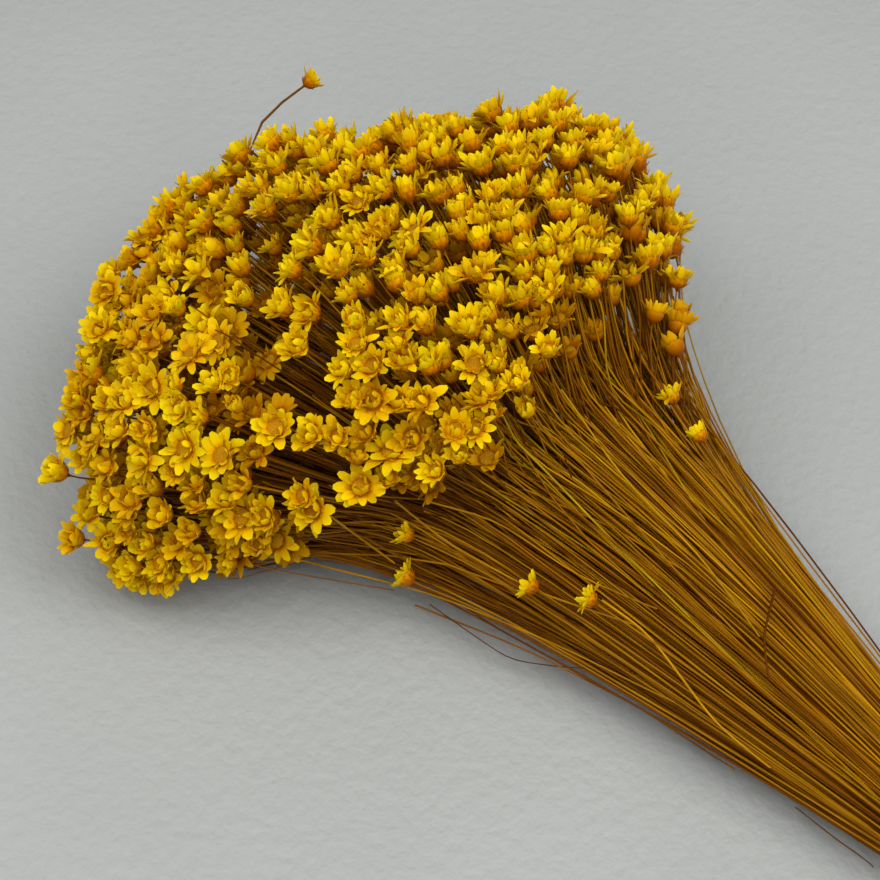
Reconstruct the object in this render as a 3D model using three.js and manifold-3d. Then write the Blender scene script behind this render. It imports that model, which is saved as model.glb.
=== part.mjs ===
// A bunch of small dried star flowers, tied round its stems and lying on its side.
// Each flower grew as one piece: a bare stem, a cup of scales and a star of papery bracts.
// The flowers stand in sheaves of four, one closed solid each. The stems of a sheaf run
// together through the tie and part below the heads. Flowers that lie on the outside of
// the bunch are solids of their own, and the tie is a ring round all the stems.
//
// X runs from the cut ends towards the heads and Z is up. A flower's place in the bunch is
// a point (u, v) of a unit disc, u to the side and v up. The disc maps evenly onto the
// bunch's section in the tie, and onto the crown of heads.

import * as THREE from "three";
import { mergeVertices } from "three/addons/utils/BufferGeometryUtils.js";
import Module from "manifold-3d";

const wasm = await Module();
wasm.setup();

// ---- Driving dimensions, in millimetres and degrees ----

const TIE = { centre: [-204, -21, 11.4], stemsRadius: 8.6, gap: 1.55, wall: 1.2, width: 8, sides: 24 };
const TAIL = { length: 60, splay: 0.06 };
const STEMS = { flare: 0.2, flareDown: 0.01, lead: 185, sweep: 74, rimSweep: 35, rimPower: 8, thickness: 1.1 };
const CROWN = {
  centre: [0, 2, 44], length: 63, halfWidth: 90, rise: 48, drop: 42, yaw: 8, floor: 3,
  wrap: 106, wrapSwing: 32, wrapSide: 105, lean: 0.5, leanSide: 0.12, lowestDip: -0.1, gather: 0.32,
};
const VALLEY = { side: 60, depth: 13, width: 0.2, start: 0.15, run: 0.25 };
const SAG = { side: -18, share: 0.85, power: 1.6, forward: 0.58, inward: 0.523 };
const SHEAVES = { count: 36, headsEach: 4, spread: 0.39, furthest: 0.97, rootDepth: 0.2, headsApart: 0.88,
  depthStep: 6, rimSides: 14, shortEdge: 0.25, evenings: 4 };
const CELL_SHARE = [[-1, 0.87], [0, 0.87], [0.15, 0.78], [0.3, 0.69], [0.44, 0.59], [0.6, 0.46], [0.78, 0.28]];
const HEAD = { sides: 5, rings: [[-0.4, 0.75], [2.4, 2.7], [6.6, 3.8]], dish: 5.2 };
const STRAY = { seat: 0.85, lift: 0.4, liftRun: 0.12, standPower: 3, thickness: 0.9, steps: 8,
  rings: [[0, 0.7], [2.2, 2.4], [5.8, 3.9]], dish: 4.6 };

// Flowers outside the bunch: the side they run along, how far up the stems they reach,
// and how far their heads stand off the bunch.
const STRAYS = {
  flower_right_low: [122, 0.37, 9],
  flower_right_mid: [139, 0.49, 4],
  flower_right_high: [163, 0.85, 7],
  flower_right_far: [200, 0.97, 5],
  flower_top_right: [96, 0.95, 8],
  flower_top_mid: [83, 0.91, 8],
  flower_top_left: [57, 0.9, 7],
  flower_left_high: [50, 0.94, 9],
  flower_left_mid: [23, 0.58, 4],
  flower_left_low: [8, 0.5, 4],
  flower_stems_upper: [30, 0.36, 3],
  flower_stems_lower: [42, 0.3, 7],
};

const COLOURS = { flower: 0xd9ae12, tie: 0xb99a66 };

// ---- The bunch's form ----

const UP = new THREE.Vector3(0, 0, 1);
const ALONG = new THREE.Vector3(1, 0, 0);
const ACROSS = new THREE.Vector3(0, 1, 0);
const CROWN_YAW = THREE.MathUtils.degToRad(CROWN.yaw);
const CROWN_ALONG = ALONG.clone().applyAxisAngle(UP, CROWN_YAW);
const CROWN_ACROSS = ACROSS.clone().applyAxisAngle(UP, CROWN_YAW);
const GOLDEN_ANGLE = Math.PI * (3 - Math.sqrt(5));

const sum = (...terms) => terms.reduce((total, [scale, vector]) => total.addScaledVector(vector, scale),
  new THREE.Vector3());

// Place and heading of the head at (u, v). The crown is a dome that wraps furthest back on
// its upper side, where most heads gather, with a valley between its left and right halves.
// The left rim sags to the ground, and comes forward and inwards as it does.
function crownPoint(u, v, depth = 0) {
  const radius = Math.min(Math.hypot(u, v), 1);
  const side = Math.atan2(v, u) + CROWN.gather * Math.cos(Math.atan2(v, u));
  const swing = CROWN.wrapSwing * Math.cos(side - THREE.MathUtils.degToRad(CROWN.wrapSide));
  const wrap = THREE.MathUtils.degToRad(CROWN.wrap + swing);
  const angle = Math.acos(1 - radius ** 2 * (1 - Math.cos(wrap)));
  const height = Math.sin(side) > 0 ? CROWN.rise : CROWN.drop;
  const lean = angle * (CROWN.lean + CROWN.leanSide * Math.cos(side));
  const heading = sum(
    [Math.cos(lean), CROWN_ALONG],
    [Math.sin(lean) * Math.cos(side), CROWN_ACROSS],
    [Math.sin(lean) * Math.sin(side), UP],
  );
  heading.z = Math.max(heading.z, CROWN.lowestDip);
  heading.normalize();
  const offValley = side - THREE.MathUtils.degToRad(VALLEY.side);
  let sunk = 0;
  if (Math.cos(offValley) > 0) {
    const section = Math.exp(-((radius * Math.sin(offValley) / VALLEY.width) ** 2));
    sunk = VALLEY.depth * section * THREE.MathUtils.clamp((radius - VALLEY.start) / VALLEY.run, 0, 1);
  }
  const place = sum(
    [1, new THREE.Vector3(...CROWN.centre)],
    [CROWN.length * Math.cos(angle), CROWN_ALONG],
    [CROWN.halfWidth * Math.sin(angle) * Math.cos(side), CROWN_ACROSS],
    [height * Math.sin(angle) * Math.sin(side), UP],
    [-(depth + sunk), heading],
  );
  place.z = Math.max(place.z, CROWN.floor);
  const facing = Math.max(Math.cos(side - THREE.MathUtils.degToRad(SAG.side)), 0);
  const fall = SAG.share * radius ** 2 * facing ** SAG.power * (place.z - CROWN.floor);
  place.add(sum([fall * SAG.forward, ALONG], [-fall * SAG.inward, ACROSS], [-fall, UP]));
  return { place, heading };
}

// Point of the stem at (u, v): s is -1 at the cut end, 0 where it leaves the tie and 1 at the
// head. From the tie it is a cubic curve that starts along the bunch and ends along the
// head's heading, in a shorter bend for the outermost stems. The lower stems don't part
// downwards, as the ground is there.
function stemPoint(u, v, s, depth = 0) {
  const offset = sum([u * TIE.stemsRadius, ACROSS], [v * TIE.stemsRadius, UP]);
  const start = sum([1, new THREE.Vector3(...TIE.centre)], [TIE.width / 2, ALONG], [1, offset]);
  if (s <= 0) {
    return sum([1, start], [s * TAIL.length, ALONG], [-s * TAIL.splay, offset]);
  }
  const { place, heading } = crownPoint(u, v, depth);
  const leadOut = sum(
    [1, start],
    [STEMS.lead, ALONG],
    [STEMS.lead * STEMS.flare * u, ACROSS],
    [STEMS.lead * (v > 0 ? STEMS.flare : STEMS.flareDown) * v, UP],
  );
  const rimShare = Math.min(Math.hypot(u, v), 1) ** STEMS.rimPower;
  const sweep = THREE.MathUtils.lerp(STEMS.sweep, STEMS.rimSweep, rimShare);
  const leadIn = sum([1, place], [-sweep, heading]);
  return new THREE.CubicBezierCurve3(start, leadOut, leadIn, place).getPoint(s);
}

// ---- Shapes ----

const middle = (ring) => sum(...ring.map((point) => [1 / ring.length, point]));

// A closed skin over rings of equal count, its two ends closed by fans to a centre or a tip.
function skin(rings, endTip) {
  const count = rings[0].length;
  const points = [...rings.flat(), middle(rings[0]), endTip ?? middle(rings.at(-1))];
  const firstTip = rings.length * count;
  const lastRing = firstTip - count;
  const faces = [];
  for (let i = 0; i < count; i += 1) {
    const next = (i + 1) % count;
    for (let start = 0; start < lastRing; start += count) {
      faces.push(start + i, start + next, start + count + next);
      faces.push(start + i, start + count + next, start + count + i);
    }
    faces.push(firstTip, next, i);
    faces.push(firstTip + 1, lastRing + i, lastRing + next);
  }
  return { points, faces };
}

// A regular ring square to a direction.
function ringAt(centre, direction, radius, sides) {
  const side = new THREE.Vector3().crossVectors(UP, direction).normalize();
  const rise = new THREE.Vector3().crossVectors(direction, side).normalize();
  return Array.from({ length: sides }, (_, i) => {
    const angle = 2 * Math.PI * i / sides;
    return sum([1, centre], [radius * Math.cos(angle), side], [radius * Math.sin(angle), rise]);
  });
}

// A flower: a stem along the given points, widening into a cup with a dished top.
function flower(stem, heading, thickness, rings, dish) {
  const base = stem.at(-1);
  const skins = stem.slice(0, -1).map((point, i) => {
    const direction = sum([1, stem[i + 1]], [-1, point]).normalize();
    return ringAt(point, direction, thickness / 2, HEAD.sides);
  });
  for (const [distance, radius] of rings) {
    skins.push(ringAt(sum([1, base], [distance, heading]), heading, radius, HEAD.sides));
  }
  return skin(skins, sum([1, base], [dish, heading]));
}

function toManifold({ points, faces }) {
  return new wasm.Manifold(new wasm.Mesh({
    numProp: 3,
    vertProperties: new Float32Array(points.flatMap((point) => point.toArray())),
    triVerts: new Uint32Array(faces),
  }));
}

function toGeometry({ points, faces }) {
  const geometry = new THREE.BufferGeometry().setFromPoints(points);
  geometry.setIndex(faces);
  geometry.computeVertexNormals();
  return geometry;
}

function fromManifold(solid) {
  const { vertProperties, triVerts } = solid.getMesh();
  const geometry = new THREE.BufferGeometry();
  geometry.setAttribute("position", new THREE.BufferAttribute(vertProperties, 3));
  geometry.setIndex(new THREE.BufferAttribute(triVerts, 1));
  geometry.computeVertexNormals();
  return geometry;
}

// ---- Sheaves ----

// Points spread evenly over the unit disc, as seeds are in a sunflower.
function discPoints(count) {
  return Array.from({ length: count }, (_, i) => {
    const radius = Math.sqrt((i + 0.5) / count);
    return new THREE.Vector2(radius * Math.cos(i * GOLDEN_ANGLE), radius * Math.sin(i * GOLDEN_ANGLE));
  });
}

// The part of a convex outline that is nearer to one centre than to another.
function clipToCentre(outline, centre, other) {
  const normal = other.clone().sub(centre);
  const level = normal.dot(centre.clone().add(other).multiplyScalar(0.5));
  const clipped = [];
  outline.forEach((point, i) => {
    const next = outline[(i + 1) % outline.length];
    const here = level - normal.dot(point);
    const there = level - normal.dot(next);
    if (here >= 0) {
      clipped.push(point);
    }
    if (here * there < 0) {
      clipped.push(point.clone().lerp(next, here / (here - there)));
    }
  });
  return clipped;
}

// The share of the unit disc that each centre's sheaf fills.
function cells(centres) {
  const rimRadius = 1 / Math.cos(Math.PI / SHEAVES.rimSides);
  const rim = Array.from({ length: SHEAVES.rimSides }, (_, i) => {
    const angle = 2 * Math.PI * i / SHEAVES.rimSides;
    return new THREE.Vector2(rimRadius * Math.cos(angle), rimRadius * Math.sin(angle));
  });
  const shortEdge = SHEAVES.shortEdge / Math.sqrt(centres.length);
  return centres.map((centre) => centres
    .filter((other) => other !== centre)
    .reduce((outline, other) => clipToCentre(outline, centre, other), rim)
    .filter((corner, i, outline) => corner.distanceTo(outline.at(i - 1)) > shortEdge));
}

// A sheaf: its stems as one tapering body, and its flowers that part from the body's end.
function sheaf(centre, outline, index) {
  const rings = CELL_SHARE.map(([s, share]) => outline.map((corner) => {
    const point = centre.clone().lerp(corner, share);
    return stemPoint(point.x, point.y, s);
  }));
  const end = middle(rings.at(-1));
  const root = end.clone().lerp(middle(rings.at(-2)), SHEAVES.rootDepth);
  let solid = toManifold(skin(rings));
  const reach = SHEAVES.spread / Math.sqrt(SHEAVES.count);
  for (let i = 0; i < SHEAVES.headsEach; i += 1) {
    const turn = centre.angle() + 2 * Math.PI * (i + 0.5) / SHEAVES.headsEach;
    const place = new THREE.Vector2(Math.cos(turn), Math.sin(turn)).multiplyScalar(reach).add(centre);
    place.clampLength(0, SHEAVES.furthest);
    const depth = SHEAVES.depthStep * ((index + i) % 2);
    const stem = [
      root,
      end,
      stemPoint(place.x, place.y, SHEAVES.headsApart, depth),
      stemPoint(place.x, place.y, 1, depth),
    ];
    const { heading } = crownPoint(place.x, place.y);
    solid = solid.add(toManifold(flower(stem, heading, STEMS.thickness, HEAD.rings, HEAD.dish)));
  }
  return fromManifold(solid);
}

// ---- Flowers on the outside of the bunch ----

function strayFlower(side, reach, stand) {
  const angle = THREE.MathUtils.degToRad(side);
  const points = Array.from({ length: STRAY.steps + 2 }, (_, i) => {
    const s = i === 0 ? -1 : reach * (i - 1) / STRAY.steps;
    const share = Math.max(s, 0) / reach;
    const lift = STRAY.lift * THREE.MathUtils.clamp(s / STRAY.liftRun, 0, 1);
    const across = ACROSS.clone().lerp(CROWN_ACROSS, Math.max(s, 0));
    const out = sum([Math.cos(angle), across], [Math.sin(angle), UP]);
    const off = STRAY.seat + lift + stand * share ** STRAY.standPower;
    return sum([1, stemPoint(Math.cos(angle), Math.sin(angle), s)], [off, out]);
  });
  const heading = sum([1, points.at(-1)], [-1, points.at(-2)]).normalize();
  return toGeometry(flower(points, heading, STRAY.thickness, STRAY.rings, STRAY.dish));
}

// ---- The tie ----

// A flat ring with rounded edges round all the stems.
function tieRing() {
  const inner = TIE.stemsRadius + TIE.gap;
  const outer = inner + TIE.wall;
  const half = TIE.width / 2;
  const edge = TIE.wall / 2;
  const profile = [
    [inner, -half + edge], [inner + edge, -half], [outer, -half + edge], [outer, half - edge],
    [inner + edge, half], [inner, half - edge], [inner, -half + edge],
  ].map(([radius, along]) => new THREE.Vector2(radius, along));
  const geometry = new THREE.LatheGeometry(profile, TIE.sides);
  geometry.deleteAttribute("normal");
  geometry.deleteAttribute("uv");
  geometry.rotateZ(-Math.PI / 2);
  geometry.translate(...TIE.centre);
  const merged = mergeVertices(geometry, 1e-4);
  merged.computeVertexNormals();
  return merged;
}

// ---- The bunch ----

const flowerMaterial = new THREE.MeshStandardMaterial({ color: COLOURS.flower, roughness: 0.7, metalness: 0 });
const tieMaterial = new THREE.MeshStandardMaterial({ color: COLOURS.tie, roughness: 0.85, metalness: 0 });

const bunch = new THREE.Group();

function addPiece(name, geometry, material) {
  const mesh = new THREE.Mesh(geometry, material);
  mesh.name = name;
  bunch.add(mesh);
}

let centres = discPoints(SHEAVES.count);
for (let pass = 0; pass < SHEAVES.evenings; pass += 1) {
  centres = cells(centres).map((outline) => outline
    .reduce((total, corner) => total.addScaledVector(corner, 1 / outline.length), new THREE.Vector2()));
}
cells(centres).forEach((outline, index) => {
  const name = `flower_sheaf_${String(index + 1).padStart(2, "0")}`;
  addPiece(name, sheaf(centres[index], outline, index), flowerMaterial);
});
for (const [name, [side, reach, stand]] of Object.entries(STRAYS)) {
  addPiece(name, strayFlower(side, reach, stand), flowerMaterial);
}
addPiece("tie", tieRing(), tieMaterial);

// The bunch lies on the plane z = 0, with the middle of its box over the origin.
const box = new THREE.Box3().setFromObject(bunch);
const boxCentre = box.getCenter(new THREE.Vector3());
bunch.position.set(-boxCentre.x, -boxCentre.y, -box.min.z);

export default bunch;
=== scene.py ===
"""A tied bunch of dried star flowers, lying on its side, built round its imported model.

Each flower grew as one piece: a bare stem, a cup of scales and a star of papery bracts.
A flower's place in the bunch is a point (u, v) of a unit disc, u to the side and v up. The
disc maps evenly onto the bunch's section in the tie and onto the crown of heads. Sizes are
in metres and angles in degrees.
"""

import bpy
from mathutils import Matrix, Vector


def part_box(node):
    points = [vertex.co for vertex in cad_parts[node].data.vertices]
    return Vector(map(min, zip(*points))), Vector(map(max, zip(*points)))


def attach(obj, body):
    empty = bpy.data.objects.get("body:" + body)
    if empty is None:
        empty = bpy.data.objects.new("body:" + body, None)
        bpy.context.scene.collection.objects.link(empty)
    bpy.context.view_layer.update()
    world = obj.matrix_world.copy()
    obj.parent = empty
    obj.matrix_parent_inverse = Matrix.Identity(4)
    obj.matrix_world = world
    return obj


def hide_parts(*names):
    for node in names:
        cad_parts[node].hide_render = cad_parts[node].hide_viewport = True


bl_info = {
    "name": "Dried star flower bunch",
    "version": (1, 0, 0),
    "blender": (4, 5, 0),
    "location": "View3D > Sidebar > Flowers",
    "description": "Builds a tied bunch of dried star flowers round its packed model",
    "category": "Add Mesh",
}

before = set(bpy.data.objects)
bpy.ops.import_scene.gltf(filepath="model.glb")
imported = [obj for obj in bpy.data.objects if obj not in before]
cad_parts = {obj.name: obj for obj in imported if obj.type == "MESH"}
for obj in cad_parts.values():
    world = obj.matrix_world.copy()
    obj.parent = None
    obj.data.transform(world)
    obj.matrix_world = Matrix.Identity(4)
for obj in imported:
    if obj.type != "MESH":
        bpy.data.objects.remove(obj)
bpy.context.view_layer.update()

from types import SimpleNamespace

import bpy
import numpy as np
from mathutils import Matrix, Vector

SEED = 11

# ---- The bunch's form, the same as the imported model's ----

TIE = SimpleNamespace(
    centre=(-0.204, -0.021, 0.0114), stems_radius=0.0086, gap=0.00155, wall=0.0012, width=0.008,
)
TAIL = SimpleNamespace(length=0.060, splay=0.06)
STEMS = SimpleNamespace(flare=0.2, flare_down=0.01, lead=0.185, sweep=0.074, rim_sweep=0.035, rim_power=8)
CROWN = SimpleNamespace(
    centre=(0.0, 0.002, 0.044), length=0.063, half_width=0.090, rise=0.048, drop=0.042, yaw=8, floor=0.003,
    wrap=106, wrap_swing=32, wrap_side=105, lean=0.5, lean_side=0.12, lowest_dip=-0.1, gather=0.32,
)
VALLEY = SimpleNamespace(side=60, depth=0.013, width=0.2, start=0.15, run=0.25)
SAG = SimpleNamespace(side=-18, share=0.85, power=1.6, shift=(0.58, -0.523, -1.0))
OUTER = SimpleNamespace(seat=0.00085, lift=0.0004, lift_run=0.12, stand_power=3, steps=8)

# Flowers outside the bunch: the side they run along, how far up the stems they reach, how
# far their heads stand off the bunch, and how open and how large those heads are.
OUTER_FLOWERS = {
    "right_low": (122, 0.37, 0.009, 0.35, 0.8),
    "right_mid": (139, 0.49, 0.004, 0.6, 0.85),
    "right_high": (163, 0.85, 0.007, 0.6, 1.0),
    "right_far": (200, 0.97, 0.005, 0.7, 1.0),
    "top_right": (96, 0.95, 0.008, 0.5, 0.9),
    "top_mid": (83, 0.91, 0.008, 0.6, 0.9),
    "top_left": (57, 0.90, 0.007, 0.4, 0.85),
    "left_high": (50, 0.94, 0.009, 0.6, 0.9),
    "left_mid": (23, 0.58, 0.004, 0.5, 0.8),
    "left_low": (8, 0.50, 0.004, 0.7, 0.9),
    "stems_upper": (30, 0.36, 0.003, 0.7, 0.8),
    "stems_lower": (42, 0.30, 0.007, 0.8, 0.85),
}

CAMERA = SimpleNamespace(
    target=(-0.030, 0.0, 0.040), bearing=-42, tilt=52, distance=0.8, lens=130.9, sensor=36,
    aside=-0.00755, above=0.0003, frame=880, nearest=0.05, farthest=20,
)

# Three soft lamps round the bunch, the direction of each and its share of the power, and the
# light from everywhere.
LAMPS = {"lamp_front": (138, 0.29), "lamp_right": (210, 0.43), "lamp_left": (60, 0.28)}
LAMP_HEIGHT, LAMP_DISTANCE, LAMP_SIZE = 61, 1.5, 1.0
WORLD = {"Color": (0.97, 0.98, 1.0, 1), "Strength": 0.35}

ALONG, ACROSS, UP = np.eye(3)
GOLDEN_ANGLE = np.pi * (3 - np.sqrt(5))
MM = 0.001
PIXEL = 0.00025


def unit(vectors):
    """Vectors divided by their lengths."""
    return vectors / np.linalg.norm(vectors, axis=-1, keepdims=True)


def mix(a, b, share):
    """a at share 0, b at share 1, and the straight line between them."""
    return a + (b - a) * share


YAW = np.radians(CROWN.yaw)
CROWN_ALONG = np.array((np.cos(YAW), np.sin(YAW), 0.0))
CROWN_ACROSS = np.array((-np.sin(YAW), np.cos(YAW), 0.0))
TIE_BOX = np.array([list(corner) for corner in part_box("tie")])
SHIFT = TIE_BOX.mean(0) - TIE.centre


def crown(u, v, depth=0.0):
    """Places and headings of heads at (u, v), sunk by depth.

    The disc's radius r becomes the angle g from the crown's middle by 1 - cos g = r² (1 - cos wrap),
    so equal parts of the disc hold equal parts of the crown. The place is length cos g along,
    half-width sin g cos side across, and rise or drop times sin g sin side up. A bell-shaped
    valley is sunk along one side, and nothing is lower than the crown's floor. The left rim
    sags to the ground by share r² cos(side - sag side) ** power of its height, and comes
    forward and inwards as it does.
    """
    radius = np.minimum(np.hypot(u, v), 1)
    side = np.arctan2(v, u) + CROWN.gather * np.cos(np.arctan2(v, u))
    wrap = np.radians(CROWN.wrap + CROWN.wrap_swing * np.cos(side - np.radians(CROWN.wrap_side)))
    angle = np.arccos(1 - radius**2 * (1 - np.cos(wrap)))
    height = np.where(np.sin(side) > 0, CROWN.rise, CROWN.drop)
    lean = angle * (CROWN.lean + CROWN.lean_side * np.cos(side))
    heading = (
        np.cos(lean)[..., None] * CROWN_ALONG
        + (np.sin(lean) * np.cos(side))[..., None] * CROWN_ACROSS
        + (np.sin(lean) * np.sin(side))[..., None] * UP
    )
    heading[..., 2] = np.maximum(heading[..., 2], CROWN.lowest_dip)
    heading = unit(heading)
    off_valley = side - np.radians(VALLEY.side)
    section = np.exp(-((radius * np.sin(off_valley) / VALLEY.width) ** 2)) * (np.cos(off_valley) > 0)
    sunk = VALLEY.depth * section * np.clip((radius - VALLEY.start) / VALLEY.run, 0, 1)
    place = (
        SHIFT
        + CROWN.centre
        + (CROWN.length * np.cos(angle))[..., None] * CROWN_ALONG
        + (CROWN.half_width * np.sin(angle) * np.cos(side))[..., None] * CROWN_ACROSS
        + (height * np.sin(angle) * np.sin(side))[..., None] * UP
        - (depth + sunk)[..., None] * heading
    )
    place[..., 2] = np.maximum(place[..., 2], CROWN.floor)
    facing = np.maximum(np.cos(side - np.radians(SAG.side)), 0)
    fall = SAG.share * radius**2 * facing**SAG.power * (place[..., 2] - CROWN.floor)
    return place + fall[..., None] * SAG.shift, heading


def stem_path(tie_place, head_place, ends, s):
    """Points of stems: s is -1 at the cut end, 0 where the stem leaves the tie and 1 at the head.

    Behind the tie a stem is straight and splays a little. Ahead of it, it is a cubic curve
    that starts along the bunch and ends along the head's heading.
    """
    place, heading = ends
    u, v = head_place
    offset = TIE.stems_radius * (tie_place[0][..., None] * ACROSS + tie_place[1][..., None] * UP)
    start = SHIFT + TIE.centre + TIE.width / 2 * ALONG + offset
    flare = np.where(v > 0, STEMS.flare, STEMS.flare_down) * v
    lead_out = start + STEMS.lead * (ALONG + (STEMS.flare * u)[..., None] * ACROSS + flare[..., None] * UP)
    rim_share = np.minimum(np.hypot(u, v), 1) ** STEMS.rim_power
    lead_in = place - mix(STEMS.sweep, STEMS.rim_sweep, rim_share)[..., None] * heading
    t = np.maximum(s, 0)[:, None]
    back = np.minimum(s, 0)[:, None]
    controls = (start, lead_out, lead_in, place, offset)
    start, lead_out, lead_in, place, offset = (point[..., None, :] for point in controls)
    curve = start * (1 - t) ** 3 + 3 * lead_out * t * (1 - t) ** 2
    curve = curve + 3 * lead_in * t**2 * (1 - t) + place * t**3
    return curve + back * TAIL.length * ALONG - back * TAIL.splay * offset


# ---- Which flower stands where ----

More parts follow.
